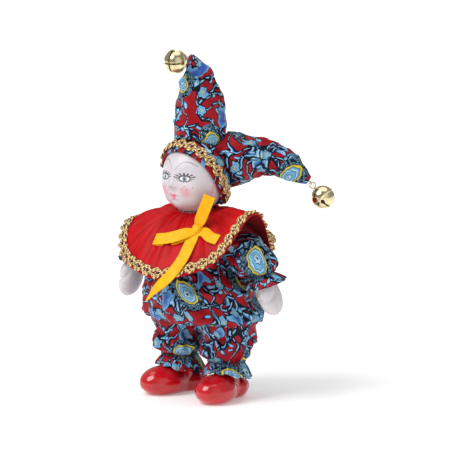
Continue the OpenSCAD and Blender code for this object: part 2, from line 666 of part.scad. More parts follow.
module collar_braid() on_body() color(gold) band([for (j = [0:collar_sides - 1]) let (
        a = 360 * j / collar_sides,
        k = braid_k(a),
        low = collar_t + braid_seat)
    [collar_point(a, 1, low),
     collar_point(a, 1 - k / 2, low),
     collar_point(a, 1 - k, low),
     collar_point(a, 1 - k, low + braid_t * 0.5),
     collar_point(a, 1 - k / 2, low + braid_t),
     collar_point(a, 1, low + braid_t * 0.5)]]);

module collar_gather_thread() on_body() color(thread_white)
    translate(neck_mid + [0, 0, collar_low_z + collar_t + thread_d / 2 + 0.1])
    ring_of_thread(collar_neck_r + thread_d / 2 + 0.1, thread_d);

// Bow: flat ribbon loops and tails that lie on the collar and meet in a knot

knot_turn = -48;
knot_k = 0.5;
knot_r = ribbon_w * 0.3;
knot_mid = collar_point(knot_turn, knot_k, collar_t + 0.5 + knot_r);
knot_half = ribbon_w * 0.22 + knot_r + 0.2;
// direction down the collar's slope, and direction away from the collar
function down_collar(a, k) = unit(collar_point(a, k + 0.05, 0) - collar_point(a, k - 0.05, 0));
function off_collar(a, k) = unit(cross(
    down_collar(a, k),
    collar_point(a + 3, k, 0) - collar_point(a - 3, k, 0)));
// degrees round the collar that a length takes at the knot's radius
function turn_of(len) = len / mix(collar_neck_r, collar_r, knot_k) * 180 / PI;
// rectangular section of ribbon at c, along t, with its width along e
function ribbon_ring(c, t, e, w) = let (g = unit(e - t * (e * t)), f = cross(t, g))
    [for (s = [[1, -1], [1, 1], [-1, 1], [-1, -1]]) c + s[0] * w / 2 * g + s[1] * ribbon_t / 2 * f];

module bow_knot() on_body() color(ribbon_yellow) translate(knot_mid) aim(off_collar(knot_turn, knot_k))
    hull() for (side = [-1, 1]) translate([0, side * ribbon_w * 0.22, 0]) sphere(knot_r, $fn = 14);

// Loops run out from the knot and back: swing goes from 0 at the knot to 1 at the fold
loop_open = 24;
loop_swing = steps(loop_open, 360 - loop_open, 16);
function swing(a) = (1 - cos(a)) / 2;
loop_h = 1.3;
loop_lift = collar_t + loop_h * 2;
side_start = knot_turn - turn_of(knot_half);
side_loop_k = 0.58;
function side_loop_at(a) = let (s = swing(a))
    collar_point(side_start - turn_of(side_loop) * s, mix(knot_k, side_loop_k, s),
        loop_lift + loop_h * sin(a) - 0.4 * s);

module bow_side_loop() on_body() color(ribbon_yellow) loft([for (a = loop_swing) ribbon_ring(
    side_loop_at(a),
    unit(side_loop_at(a + 1) - side_loop_at(a - 1)),
    down_collar(side_start - turn_of(side_loop) * swing(a), mix(knot_k, side_loop_k, swing(a))),
    ribbon_w)]);

upper_dir = unit([0.22, 0.3, 0.93]);
upper_out = unit([0.66, -0.73, 0.25]);
function upper_loop_at(a) = knot_mid
    + upper_dir * (knot_r + 0.3 + upper_loop * swing(a))
    + upper_out * loop_h * sin(a);

module bow_upper_loop() on_body() color(ribbon_yellow) loft([for (a = loop_swing) ribbon_ring(
    upper_loop_at(a),
    unit(upper_loop_at(a + 1) - upper_loop_at(a - 1)),
    cross(upper_dir, upper_out),
    ribbon_w)]);

// Tails lie on the collar; the long one passes over its edge and hangs to a slanted point
tail_turn = -67;
tail_lift = collar_t + seat + ribbon_t / 2;
over_braid = collar_t + braid_seat + braid_t + ribbon_t / 2;
// place on the collar with the direction that the ribbon faces there
function laid(a, k, lift) = concat(collar_point(a, k, 0) + lift * off_collar(a, k), off_collar(a, k));
function facing(s) = unit([s[3], s[4], s[5]]);
tail_edge = laid(tail_turn, 1, over_braid);
tail_dir = unit([-0.72, -0.04, -0.69]);
long_stations = [
    laid(knot_turn - 6, knot_k + (knot_r + 2.2) / (collar_r - collar_neck_r), tail_lift),
    laid(mix(knot_turn, tail_turn, 0.6), 0.84, mix(tail_lift, over_braid, 0.55)),
    tail_edge,
    concat(xyz(tail_edge) + tail_dir * long_tail * 0.5 - [0, 1.6, 0], facing(tail_edge)),
    concat(xyz(tail_edge) + tail_dir * long_tail, facing(tail_edge))];
short_start = knot_turn + turn_of(knot_half + 0.3);
short_stations = [for (s = [0, 0.5, 1])
    laid(short_start + turn_of(short_tail) * 0.5 * s, knot_k + 0.02 + short_tail * 0.026 * s,
        mix(tail_lift + 0.8, tail_lift + 0.3, s))];

module ribbon_tail(stations, n, point_from) color(ribbon_yellow) loft([for (u = steps(0, 1, n)) let (
        s = curve(stations, u),
        t = heading([for (p = stations) xyz(p)], u),
        taper = 0.9 * max(0, (u - point_from) / (1 - point_from)))
    ribbon_ring(xyz(s), t, cross(facing(s), t), ribbon_w * (1 - taper))]);

module bow_long_tail() on_body() ribbon_tail(long_stations, 16, 0.88);
module bow_short_tail() on_body() ribbon_tail(short_stations, 6, 0.999);

head_shell();
hat_cap();
hat_right_horn();
hat_left_horn();
hat_braid();
chin_elastic();
stand_bell() bell_shell();  // right_bell_shell
stand_bell() bell_loop();  // right_bell_loop
in_bell(stand_tip, stand_bell_dir) bell_pellet();  // right_bell_pellet
stand_bell() bell_thread();  // right_bell_thread
droop_bell() bell_shell();  // left_bell_shell
droop_bell() bell_loop();  // left_bell_loop
in_bell(droop_tip, droop_bell_dir) bell_pellet();  // left_bell_pellet
droop_bell() bell_thread();  // left_bell_thread
collar();
collar_braid();
collar_gather_thread();
bow_knot();
bow_upper_loop();
bow_side_loop();
bow_short_tail();
bow_long_tail();
torso_cloth();
neck_tie();
arm_side(-1) sleeve();  // right_sleeve
arm_side(-1) cuff_elastic();  // right_cuff_elastic
arm_side(-1) hand();  // right_hand
arm_side(-1) wrist_tie();  // right_wrist_tie
arm_side(1) sleeve();  // left_sleeve
arm_side(1) cuff_elastic();  // left_cuff_elastic
arm_side(1) hand();  // left_hand
arm_side(1) wrist_tie();  // left_wrist_tie
leg_side(-1) trouser_leg();  // right_trouser_leg
leg_side(-1) ankle_elastic();  // right_ankle_elastic
foot_side(-1) shoe();  // right_shoe
foot_side(-1) ankle_tie();  // right_ankle_tie
leg_side(1) trouser_leg();  // left_trouser_leg
leg_side(1) ankle_elastic();  // left_ankle_elastic
foot_side(1) shoe();  // left_shoe
foot_side(1) ankle_tie();  // left_ankle_tie
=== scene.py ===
# %% [markdown]
# # A standing harlequin doll
# A small doll of the kind sold as a keepsake: a porcelain head, hands and shoes on a stuffed
# satin body, a gathered red collar, a ribbon bow and a horned cap with two bells. The CAD model
# gives the frame: every piece below is drawn in millimetres from the doll's own upright axis and
# lands in the same place as the solid that it stands for.

# %% Frame and units
import math

import bmesh
import bpy
import numpy as np
from mathutils import Matrix, Vector, noise


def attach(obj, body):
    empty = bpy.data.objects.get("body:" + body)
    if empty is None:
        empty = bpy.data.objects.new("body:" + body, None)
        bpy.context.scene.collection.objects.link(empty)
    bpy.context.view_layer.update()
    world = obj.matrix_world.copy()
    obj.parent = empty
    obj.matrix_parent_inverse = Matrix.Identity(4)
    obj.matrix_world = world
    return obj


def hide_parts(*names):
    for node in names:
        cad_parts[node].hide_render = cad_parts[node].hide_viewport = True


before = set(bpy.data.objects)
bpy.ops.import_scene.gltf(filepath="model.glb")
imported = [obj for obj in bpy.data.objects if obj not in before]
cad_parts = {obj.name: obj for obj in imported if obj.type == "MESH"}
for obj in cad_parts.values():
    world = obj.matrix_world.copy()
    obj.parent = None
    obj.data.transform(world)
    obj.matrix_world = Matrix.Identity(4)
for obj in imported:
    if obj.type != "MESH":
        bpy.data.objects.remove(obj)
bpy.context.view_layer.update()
MM = 0.001
BODY_AXIS = np.array([-1.2, -1.3, 0.0])


def to_frame(points):
    """Millimetres from the doll's axis to metres in the shared frame."""
    return (np.asarray(points, float) + BODY_AXIS) * MM


# %% [markdown]
# ## Camera and light
# The photograph was taken from far away with a long lens, 42 degrees round to the doll's left and
# 10 degrees above the floor. A catalogue photograph like this has a white sweep and large soft
# boxes far away. Three suns with a wide angle stand in for the boxes: their light is as soft, and it
# falls evenly on the whole sweep, which near lamps would leave grey at its edges. The sweep itself
# glows a little, as a lit table does, so that the doll's shadow on it stays faint.

# %% Camera
AZIMUTH, ELEVATION = math.radians(42), math.radians(10)
CAMERA_DISTANCE, FIELD_WIDTH, SENSOR = 4000, 231.9, 36
VIEW_MID = np.array([-0.35, 20, 85.6])


def placed(name, data):
    """A new object in the scene."""
    made = bpy.data.objects.new(name, data)
    bpy.context.scene.collection.objects.link(made)
    return made


view_right = np.array([math.cos(AZIMUTH), math.sin(AZIMUTH), 0])
view_back = np.array([
    math.sin(AZIMUTH) * math.cos(ELEVATION),
    -math.cos(AZIMUTH) * math.cos(ELEVATION),
    math.sin(ELEVATION)])
view_up = np.cross(view_back, view_right)
camera_data = bpy.data.cameras.new("camera")
camera_data.sensor_width = SENSOR
camera_data.lens = SENSOR * CAMERA_DISTANCE / FIELD_WIDTH
camera = placed("camera", camera_data)
camera.matrix_world = Matrix.Translation(to_frame(VIEW_MID + view_back * CAMERA_DISTANCE)) @ Matrix(
    np.column_stack([view_right, view_up, view_back]).tolist()).to_4x4()
bpy.context.scene.camera = camera
bpy.context.scene.view_settings.view_transform = "Standard"
print("lens", round(camera_data.lens, 1), "mm")

# %% Colour and nodes
UNDER, OVER = 6, 7  # a Mix node's two colour sockets


def linear(hex_colour):
    """An sRGB hex value as the linear colour that the shaders use."""
    channels = [int(hex_colour[i:i + 2], 16) / 255 for i in (1, 3, 5)]
    return [c / 12.92 if c <= 0.04045 else ((c + 0.055) / 1.055) ** 2.4 for c in channels] + [1.0]


def add(tree, kind, inputs=None, stops=(), hard=False, **settings):
    """Adds a shader node. An input is a value, a socket, or a node whose first used output is
    linked; stops are the places and hex colours of a ramp, which jumps between them if hard."""
    made = tree.nodes.new("ShaderNode" + kind)
    for key, value in settings.items():
        setattr(made, key, value)
    for i, (place, colour) in enumerate(stops):
        stop = made.color_ramp.elements[i] if i < 2 else made.color_ramp.elements.new(place)
        stop.position, stop.color = place, linear(colour)
    if hard:
        made.color_ramp.interpolation = "CONSTANT"
    for key, value in (inputs or {}).items():
        if isinstance(value, bpy.types.Node):
            value = next(socket for socket in value.outputs if socket.enabled)
        if isinstance(value, bpy.types.NodeSocket):
            tree.links.new(value, made.inputs[key])
        else:
            made.inputs[key].default_value = value
    return made


def new_material(name):
    material = bpy.data.materials.new(name)
    material.use_nodes = True
    material.node_tree.nodes.clear()
    return material, material.node_tree


print("mid grey", round(linear("#808080")[0], 3))

# %% Lights and floor
SWEEP_LIGHT, SWEEP_GLOW, SWEEP_HALF = 0.34, 0.22, 3.0
LIGHT_AIM = (0, 0, 90)
world = bpy.data.worlds.new("white sweep")
bpy.context.scene.world = world
world.use_nodes = True
surround = world.node_tree.nodes["Background"].inputs
surround["Color"].default_value = linear("#ffffff")
surround["Strength"].default_value = SWEEP_LIGHT

# Each soft box: its place in mm, how wide it looks in degrees, and its power.
for light_name, place, spread, power in (
        ("key soft box", (-150, -490, 640), 38, 2.0),
        ("fill soft box", (620, -200, 300), 60, 0.35),
        ("top soft box", (-60, 100, 760), 60, 0.9)):
    light_data = bpy.data.lights.new(light_name, "SUN")
    light_data.angle = math.radians(spread)
    light_data.energy = power
    light = placed(light_name, light_data)
    light.location = to_frame(place)
    aim = Vector(to_frame(LIGHT_AIM)) - light.location
    light.rotation_euler = aim.to_track_quat("-Z", "Y").to_euler()

floor_mesh = bpy.data.meshes.new("floor")
floor_mesh.from_pydata([(x * SWEEP_HALF, y * SWEEP_HALF, 0) for x, y in (
    (-1, -1), (1, -1), (1, 1), (-1, 1))], [], [(0, 1, 2, 3)])
floor = placed("floor", floor_mesh)
# Uncoated paper: matt and even, with no gloss that could show the doll.
floor_paint, tree = new_material("white paper sweep")
add(tree, "OutputMaterial", {"Surface": add(tree, "BsdfPrincipled", {
    "Base Color": linear("#fafafa"), "Roughness": 0.9,
    "Emission Color": linear("#ffffff"), "Emission Strength": SWEEP_GLOW})})
floor_mesh.materials.append(floor_paint)

# %% [markdown]
# ## From rings to a skin
# Nearly every piece of this doll is a closed skin through a stack of rings: a limb, a horn, a
# head. One helper joins the rings into quads, closes the ends and keeps the flat size of the
# cloth as a UV map, 1 unit for 100 mm, so that a print keeps its real scale on every piece.

# %% Mesh helper
UV_MM = 100


def unit(v):
    v = np.asarray(v, float)
    return v / np.linalg.norm(v, axis=-1, keepdims=True)


def mix(a, b, t):
    return a + (b - a) * t


def bump(x, width):
    """1 where x is 0, and softly down to 0 a few widths away."""
    return np.exp(-(x / width) ** 2)


def ramp(x, start, end):
    """0 up to start, 1 from end on, and straight between them; start may be the higher one."""
    return np.clip((x - start) / (end - start), 0, 1)


def skin(name, rings, uv=None, loop=False, cone=False, cut=(0, 0)):
    """A mesh through rings (rows, columns, xyz in mm). Columns close; rows close too if loop is set.
    The cloth of a cone is cut to each ring's own girth, and other cloth is gathered into it.
    cut is the place on the printed cloth, in mm, where the piece was cut out."""
    rows, cols = rings.shape[:2]
    if uv is None:
        walk = np.linalg.norm(np.diff(rings, axis=0), axis=2).mean(axis=1)
        close = np.linalg.norm(rings[0] - rings[-1], axis=1).mean()
        along = np.concatenate([[0], np.cumsum(np.append(walk, close))])
        girth = np.linalg.norm(rings - np.roll(rings, 1, axis=1), axis=2).sum(axis=1)
        girth = np.append(girth, girth[0]) if cone else np.full(rows + 1, girth.max())
        share = np.linspace(-0.5, 0.5, cols + 1)
        uv = (np.stack([girth[:, None] * share, along[:, None] + 0 * share], axis=2) + cut) / UV_MM
    vertices = to_frame(rings.reshape(-1, 3)).tolist()
    faces, corners = [], []
    for i in range(rows if loop else rows - 1):
        k = (i + 1) % rows
        for j in range(cols):
            n = (j + 1) % cols
            faces.append((i * cols + j, i * cols + n, k * cols + n, k * cols + j))
            corners += [uv[i, j], uv[i, j + 1], uv[i + 1, j + 1], uv[i + 1, j]]
    if not loop:
        for i in (0, rows - 1):
            middle = len(vertices)
            vertices.append(to_frame(rings[i].mean(axis=0)).tolist())
            for j in range(cols):
                faces.append((i * cols + j, i * cols + (j + 1) % cols, middle))
                corners += [uv[i, j], uv[i, j + 1], (uv[i, j] + uv[i, j + 1]) / 2]
    mesh = bpy.data.meshes.new(name)
    mesh.from_pydata(vertices, [], faces)
    layer = mesh.uv_layers.new(name="cloth")
    layer.data.foreach_set("uv", np.asarray(corners, np.float32).ravel())
    build = bmesh.new()
    build.from_mesh(mesh)
    bmesh.ops.recalc_face_normals(build, faces=build.faces)
    build.to_mesh(mesh)
    build.free()
    mesh.shade_smooth()
    return placed(name, mesh)


def joined(name, parts):
    """One object out of several."""
    with bpy.context.temp_override(active_object=parts[0], selected_editable_objects=parts):
        bpy.ops.object.join()
    parts[0].name = name
    return parts[0]


def seated(piece, material, slot, body, *nodes):
    """Gives a piece its finish and seats it on its body in place of its CAD nodes."""
    piece.data.materials.clear()
    piece.data.materials.append(material)
    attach(piece, body)
    if nodes:
        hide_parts(*nodes)
    print(piece.name, len(piece.data.polygons), "faces")


print("mesh helpers ready")

# %% Curves and rings


def curve(stations, u):
    """Smooth curve through a few stations at each u from 0 to 1, as in the CAD source."""
    p, u = np.asarray(stations, float), np.atleast_1d(u)
    n = len(p) - 1
    k = np.minimum((u * n).astype(int), n - 1)
    t = (u * n - k)[:, None]
    b, c = p[k], p[k + 1]
    a = np.where((k > 0)[:, None], p[np.maximum(k - 1, 0)], 2 * b - c)
    d = np.where((k + 2 <= n)[:, None], p[np.minimum(k + 2, n)], 2 * c - b)
    return 0.5 * (2 * b + (c - a) * t + (2 * a - 5 * b + 4 * c - d) * t ** 2
                  + (3 * b - a - 3 * c + d) * t ** 3)


def turn_points(cols):
    return np.arange(cols) * 2 * math.pi / cols


def tube(centres, e, f, ra, rb):
    """Rings about the centres; ra and rb are the half sizes along e and f, per row or per point."""
    a = turn_points(ra.shape[1])
    return (np.asarray(centres)[:, None] + (ra * np.cos(a))[..., None] * np.asarray(e)[:, None]
            + (rb * np.sin(a))[..., None] * np.asarray(f)[:, None])


def turned(points, angle, first, second):
    """Points turned in the plane of two of their axes."""
    c, s = math.cos(angle), math.sin(angle)
    made = np.array(points, float)
    made[..., first] = points[..., first] * c - points[..., second] * s
    made[..., second] = points[..., first] * s + points[..., second] * c
    return made


def square_to(v, way):
    """The part of v that stands square to each way, at length 1."""
    return unit(v - way * (v * way).sum(axis=1, keepdims=True))


print("ring helpers ready")

# %% [markdown]
# ## Head
# The head is slip-cast bisque: one smooth shell with a small nose, full cheeks and a modelled
# mouth. A ball with soft bumps, written as a function of direction, gives exactly such a form,
# with none of the dents that pushed vertices leave.

# %% Head form
HIP_Z, SHOULDER_Z, NECK_Z = 42, 78.5, 95
HIPS_BACK, NECK_FRONT = 2.2, 2.5
HEAD_MID = np.array([0, -4, 114.8])
HEAD_HALF = np.array([33, 34, 37.6]) / 2
SEAT = 0.25
NECK_R, NECK_LOW_Z = 7.2, 86.6

# Height in mm, then middle and width in degrees, first out to each side and then up the face.
FACE_BUMPS = (
    (0.7, 0, 5, 4, 9),  # bridge of the nose
    (2.1, 0, 7, -7, 6.5),  # tip of the nose
    (0.5, 8, 4, -9.5, 4),  # nostrils
    (0.9, 31, 17, -16, 15),  # cheeks
    (-1.0, 22, 12, 8, 9),  # eye hollows
    (0.45, 21.5, 8, 6, 5),  # eyeballs
    (0.7, 0, 8, -26.3, 2.6),  # upper lip
    (0.75, 0, 7, -32, 3),  # lower lip
    (-0.35, 0, 9, -29.2, 1.4),  # line between the lips
    (1.3, 0, 19, -46, 10),  # chin
    (1.5, 48, 26, -40, 14))  # jowls
JAW_SLIM, JAW_LAT, JAW_TALL, JAW_FRONT = 0.4, -50, 22, 60


def egg(d, grow):
    return 1 / np.linalg.norm(d / (HEAD_HALF + grow), axis=-1, keepdims=True)


def face_relief(lon, lat):
    relief = sum(height * bump(np.abs(lon) - out, wide) * bump(lat - up, tall)
                 for height, out, wide, up, tall in FACE_BUMPS)
    return relief - JAW_SLIM * bump(lat - JAW_LAT, JAW_TALL) * (1 - bump(lon, JAW_FRONT))


def head_direction(lat, lon):
    lat, lon = np.radians(lat), np.radians(lon)
    return np.stack([np.sin(lon) * np.cos(lat), -np.cos(lon) * np.cos(lat), np.sin(lat)], axis=-1)


HEAD_COLS, NECK_ROWS = 200, 8
head_lons = np.linspace(-180, 180, HEAD_COLS + 1)
head_lats = np.concatenate([np.linspace(88, 40, 26), np.linspace(39, -60, 110)])
lat_grid, lon_grid = np.meshgrid(head_lats, head_lons[:-1], indexing="ij")
head_way = head_direction(lat_grid, lon_grid)
head_rings = HEAD_MID + head_way * (egg(head_way, 0) + face_relief(lon_grid, lat_grid)[..., None])
neck_way = head_direction(0 * head_lons[:-1], head_lons[:-1])
neck_rings = np.stack([neck_way * NECK_R + [0, -NECK_FRONT, z]
                       for z in np.linspace(NECK_Z + 2, NECK_LOW_Z, NECK_ROWS)])
head_uv_lats = np.concatenate([head_lats, np.linspace(-64, -90, NECK_ROWS), [-95]])
head_uv = np.stack(np.meshgrid(head_lons, head_uv_lats), axis=2) / UV_MM
head = skin("porcelain_head", np.concatenate([head_rings, neck_rings]), head_uv)
print("head", round(float(np.ptp(head_rings[..., 2])), 1), "mm high")

# %% [markdown]
# ## Hands and shoes
# Hands and shoes are cast too. A hand is a mitten with a thumb and a grooved shank that the sleeve
# is tied to. A shoe is a big round toe, a narrow waist and a small heel, flat under the sole.

# %% Hands
CUFF_MID = np.array([20, 0, -10.5])
ARM_SPLAY, ARM_SWING, SEAM_X = math.radians(16), math.radians(10), 21
CUFF_DIR = np.array([math.sin(ARM_SPLAY), 0, -math.cos(ARM_SPLAY)])
CUFF_SIDE = np.cross(CUFF_DIR, [0, 1, 0])
HAND_LEN, HAND_W, HAND_T, WRIST_R, WRIST_GROOVE = 22, 13.8, 9.4, 3.8, 0.7
HAND_ROWS, HAND_COLS = 90, 72
SIDES = {"right": -1, "left": 1}


def on_arm(points, side):
    """From the sleeve's own frame to the doll, for the right (-1) or left (1) arm."""
    return turned(points * [side, 1, 1], side * ARM_SWING, 1, 2) + [side * SEAM_X, 0, SHOULDER_Z]


# The shank's places and grooves, then the mitten's in shares of its length, width and thickness.
hand_stations = [(place, WRIST_R - groove, WRIST_R - groove) for place, groove in (
    (-5.4, 0), (-4, 0), (-3, WRIST_GROOVE), (-2, 0), (2, 0))]
hand_stations += [(HAND_LEN * place, HAND_W * wide, HAND_T * thick) for place, wide, thick in (
    (0.27, 0.38, 0.46), (0.45, 0.48, 0.5), (0.66, 0.5, 0.5), (0.84, 0.42, 0.42), (0.95, 0.26, 0.27),
    (1, 0.1, 0.1))]
hand_line = curve(hand_stations, np.linspace(0, 1, HAND_ROWS))
down, half_w, half_t = (column[:, None] for column in hand_line.T)
turn = turn_points(HAND_COLS)[None]

THUMB_AT, THUMB_LONG, THUMB_TURN, THUMB_ROUND = 0.36, 0.27, 150, 58
THUMB_OUT, THUMB_CREASE, FINGER_CREASE, FINGERS_AT = 1.7, 0.8, 0.7, 0.84
hand_share = down / HAND_LEN
thumb_reach = np.hypot((hand_share - THUMB_AT) / THUMB_LONG, (np.degrees(turn) - THUMB_TURN) / THUMB_ROUND)
thumb = (THUMB_OUT * bump(thumb_reach, 0.75)
         - THUMB_CREASE * bump(thumb_reach - 1.02, 0.16) * ramp(hand_share, 0.32, 0.52))
between_fingers = np.maximum(0, np.cos(np.cos(turn) * 6.5 + 0.6)) ** 6
fingers = FINGER_CREASE * bump(hand_share - FINGERS_AT, 0.2) * np.sin(turn) ** 2 * between_fingers
hand_rings = (CUFF_MID + down[..., None] * CUFF_DIR
              + ((half_w + thumb) * np.cos(turn))[..., None] * np.array([0, 1, 0])
              + ((half_t + thumb - fingers) * np.sin(turn))[..., None] * CUFF_SIDE)
hands = {name: skin(f"porcelain_{name}_hand", on_arm(hand_rings, side)) for name, side in SIDES.items()}
print("hands", len(hands))

# %% Shoes
SHOE_LEN, HEEL_BACK, TOE_W, TOE_LEN, TOE_H = 40, 16, 20, 26, 14.6
HEEL_W, HEEL_H, WAIST_W, BELT_Z = 15, 10.5, 13, 6.2
SHANK_LOW, SHANK_TOP, SHANK_R, GROOVE_Z, GROOVE_DEEP = 5, 25.2, 6.5, 22, 0.9
LEG_X, SHOE_SPLAY = 16, math.radians(12)
SHOE_ROWS, SHOE_COLS, SHANK_COLS = 60, 72, 40
SHOE_VOXEL, SHOE_SMOOTH, SHOE_BLEND = 0.5, 6, 6


def blend_max(*sizes):
    """The largest of the sizes, with a soft change from one to the next."""
    return sum(s ** SHOE_BLEND for s in sizes) ** (1 / SHOE_BLEND)


def dome(middle, length):
    return np.sqrt(np.maximum(0, 1 - ((shoe_y - middle) / (length / 2)) ** 2))


toe_y, heel_y = -(SHOE_LEN - HEEL_BACK - TOE_LEN / 2), HEEL_BACK - HEEL_W / 2
shoe_mid = HEEL_BACK - SHOE_LEN / 2
shoe_y = (shoe_mid - SHOE_LEN / 2 * np.cos(np.radians(np.linspace(4, 176, SHOE_ROWS))))[:, None]
toe_dome, heel_dome = dome(toe_y, TOE_LEN), dome(heel_y, HEEL_W)
waist = ((shoe_y > toe_y) & (shoe_y < heel_y)).astype(float)
shoe_half = blend_max(TOE_W / 2 * toe_dome, HEEL_W / 2 * heel_dome, WAIST_W / 2 * waist)
shoe_top = blend_max((TOE_H - BELT_Z) * toe_dome, (HEEL_H - BELT_Z) * heel_dome, (HEEL_H - BELT_Z) * waist)
shoe_low = (BELT_Z + 1) * np.minimum(1, blend_max(toe_dome, heel_dome, waist))
turn = turn_points(SHOE_COLS)[None]
shoe_z = BELT_Z + np.where(np.sin(turn) > 0, shoe_top, shoe_low) * np.sin(turn)
shoe_rings = np.stack([-shoe_half * np.cos(turn), shoe_y + 0 * turn, np.maximum(0, shoe_z)], axis=-1)
groove_r = SHANK_R - GROOVE_DEEP
shank_profile = [(SHANK_LOW, SHANK_R), (GROOVE_Z - 1.2, SHANK_R), (GROOVE_Z - 0.5, groove_r),
                 (GROOVE_Z + 0.5, groove_r), (GROOVE_Z + 1.2, SHANK_R), (SHANK_TOP, SHANK_R)]
turn = turn_points(SHANK_COLS)
shank_rings = np.stack([np.stack([r * np.cos(turn), r * np.sin(turn), z + 0 * turn], axis=1)
                        for z, r in shank_profile])


def on_foot(points, side):
    return turned(points, side * SHOE_SPLAY, 0, 1) + [side * LEG_X, HIPS_BACK, 0]


shoes = {}
for name, side in SIDES.items():
    shoe = joined(f"porcelain_{name}_shoe", [
        skin("cast", on_foot(shoe_rings, side)), skin("shank", on_foot(shank_rings, side))])
    cast = shoe.modifiers.new("one casting", "REMESH")
    cast.voxel_size = SHOE_VOXEL * MM
    soften = shoe.modifiers.new("soft casting", "SMOOTH")
    soften.iterations = SHOE_SMOOTH
    finished = bpy.data.meshes.new_from_object(shoe.evaluated_get(bpy.context.evaluated_depsgraph_get()))
    shoe.modifiers.clear()
    shoe.data = finished
    finished.shade_smooth()
    shoes[name] = shoe
print("shoes", [len(s.data.polygons) for s in shoes.values()], "faces")

# %% [markdown]
# ## The stuffed suit
# The suit is thin polyester satin, gathered by elastic at the cuffs and filled with wadding. Its
# shape is a swelling tube, and what makes it read as cloth are the gathers that fan out from each
# elastic and the soft ridges between them. A formula for both keeps the cloth clear of the joints,
# which a free simulation of such small pieces would not.

# %% Gathers and creases
CREASE_SHARP = 2.4


def gathers(turn, count, seed):
    """Uneven pleats round a drawn-in edge, from -1 in the sharp valleys to 1 on the round ridges."""
    phase = count * turn + 0.9 * np.sin(3 * turn + seed) + 0.6 * np.sin(7 * turn + 2 * seed)
    return 2 * np.abs(np.cos(phase / 2)) - 1


def fade(distance, reach):
    return np.exp(-np.maximum(0, distance) / reach)


def creases(girth, along, across_mm, along_mm, seed, cols, level=0.0):
    """Soft ridges round a tube without a seam, one value per row and column: 1 on the ridges, 0 in
    the valleys, less the level at which the cloth keeps its own size."""
    r = girth / (2 * math.pi)
    return np.array([[1 - min(1, CREASE_SHARP * abs(noise.noise(Vector((
        r * math.cos(t) / across_mm + seed, r * math.sin(t) / across_mm, v / along_mm + seed)))))
        for t in turn_points(cols)] for v in along]) - level


def from_angle(a, middle):
    """Degrees from a middle angle, between -180 and 180."""
    return (a - middle + 540) % 360 - 180


print("cloth helpers ready")

# %% Torso
HEM_Z, NECK_TIE_Z, ARMPIT_Z = 40.5, 93, 74
torso_stations = [
    (HEM_Z, 32.8, 23.5), (44, 34, 25.5), (51.9, 32.5, 26.5), (60.3, 30, 26.5), (70.1, 20.7, 23.5),
    (78.5, 19.2, 19.5), (85.9, 15.5, 16), (90.4, 11.3, 11.3), (NECK_TIE_Z, 9.1, 9.1), (NECK_Z, 9.7, 9.7)]
TORSO_COLS, TORSO_ROWS, TORSO_GIRTH, NECK_HOLE_R = 192, 90, 160, 7.9
TORSO_FOLD, TORSO_SMALL, HEM_GATHER, NECK_GATHER, GATHER_REACH = 2.6, 1.0, 0.75, 0.35, 7
torso_line = curve(torso_stations, np.linspace(0, 1, TORSO_ROWS))
torso_z, torso_half_w, torso_half_d = (column[:, None] for column in torso_line.T)
turn = turn_points(TORSO_COLS)[None]
torso_folds = TORSO_FOLD * creases(
    TORSO_GIRTH, torso_line[:, 0], across_mm=9, along_mm=15, seed=3.1, cols=TORSO_COLS, level=0.68)
torso_folds += TORSO_SMALL * creases(
    TORSO_GIRTH, torso_line[:, 0], across_mm=5, along_mm=7, seed=8.7, cols=TORSO_COLS, level=0.6)
near_arm = bump(torso_z - ARMPIT_Z, 9) * np.cos(turn) ** 4
torso_grow = torso_folds * (1 - near_arm) * ramp(torso_z, NECK_Z, NECK_Z - 8)
torso_grow += HEM_GATHER * gathers(turn, count=26, seed=0.4) * fade(torso_z - HEM_Z, GATHER_REACH)
torso_grow += NECK_GATHER * gathers(turn, count=24, seed=2.0) * fade(NECK_TIE_Z - torso_z, GATHER_REACH)
torso_rise = ramp(torso_z, HIP_Z, NECK_Z)
torso_front = NECK_FRONT * torso_rise ** 1.5 - HIPS_BACK * (1 - torso_rise) ** 2


def level_rings(z, half_w, half_d, front):
    return np.stack(np.broadcast_arrays(
        half_w * np.cos(turn), half_d * np.sin(turn) - front, z + 0 * turn), axis=-1)


LINING_Z, LINING_H, LINING_W, LINING_D = 41.2, 18, 31.8, 22.5
lining_turn = np.radians(np.linspace(6, 90, 12))[:, None]
lining_share = np.sqrt(np.sin(lining_turn))
lining = level_rings(LINING_Z + LINING_H * np.cos(lining_turn), LINING_W * lining_share,
                     LINING_D * lining_share, -HIPS_BACK)
blouse = level_rings(torso_z, torso_half_w + torso_grow, torso_half_d + torso_grow, torso_front)
neck_hole = level_rings(np.array([[94.6], [90], [86.3]]), NECK_HOLE_R, NECK_HOLE_R, NECK_FRONT)
torso = skin("satin_blouse", np.concatenate([lining, blouse, neck_hole]))
print("blouse", round(float(np.ptp(blouse[..., 0])), 1), "mm wide")

# %% Trouser legs
THIGH_R, RUFFLE_Z, RUFFLE_DIP, TOE_TURN, TOE_ROOM = 15.5, 15.5, 4.0, 17, 61
HIP_FULL = {"right": 0, "left": 3.6}
HIP_FULL_Z, HIP_FULL_TURN = 32.5, 25
LEG_COLS, LEG_GIRTH, LEG_GATHER, LEG_RIDGE, RUFFLE_WAVE, INSIDE_ROWS = 120, 80, 0.7, 3.3, 0.5, 14
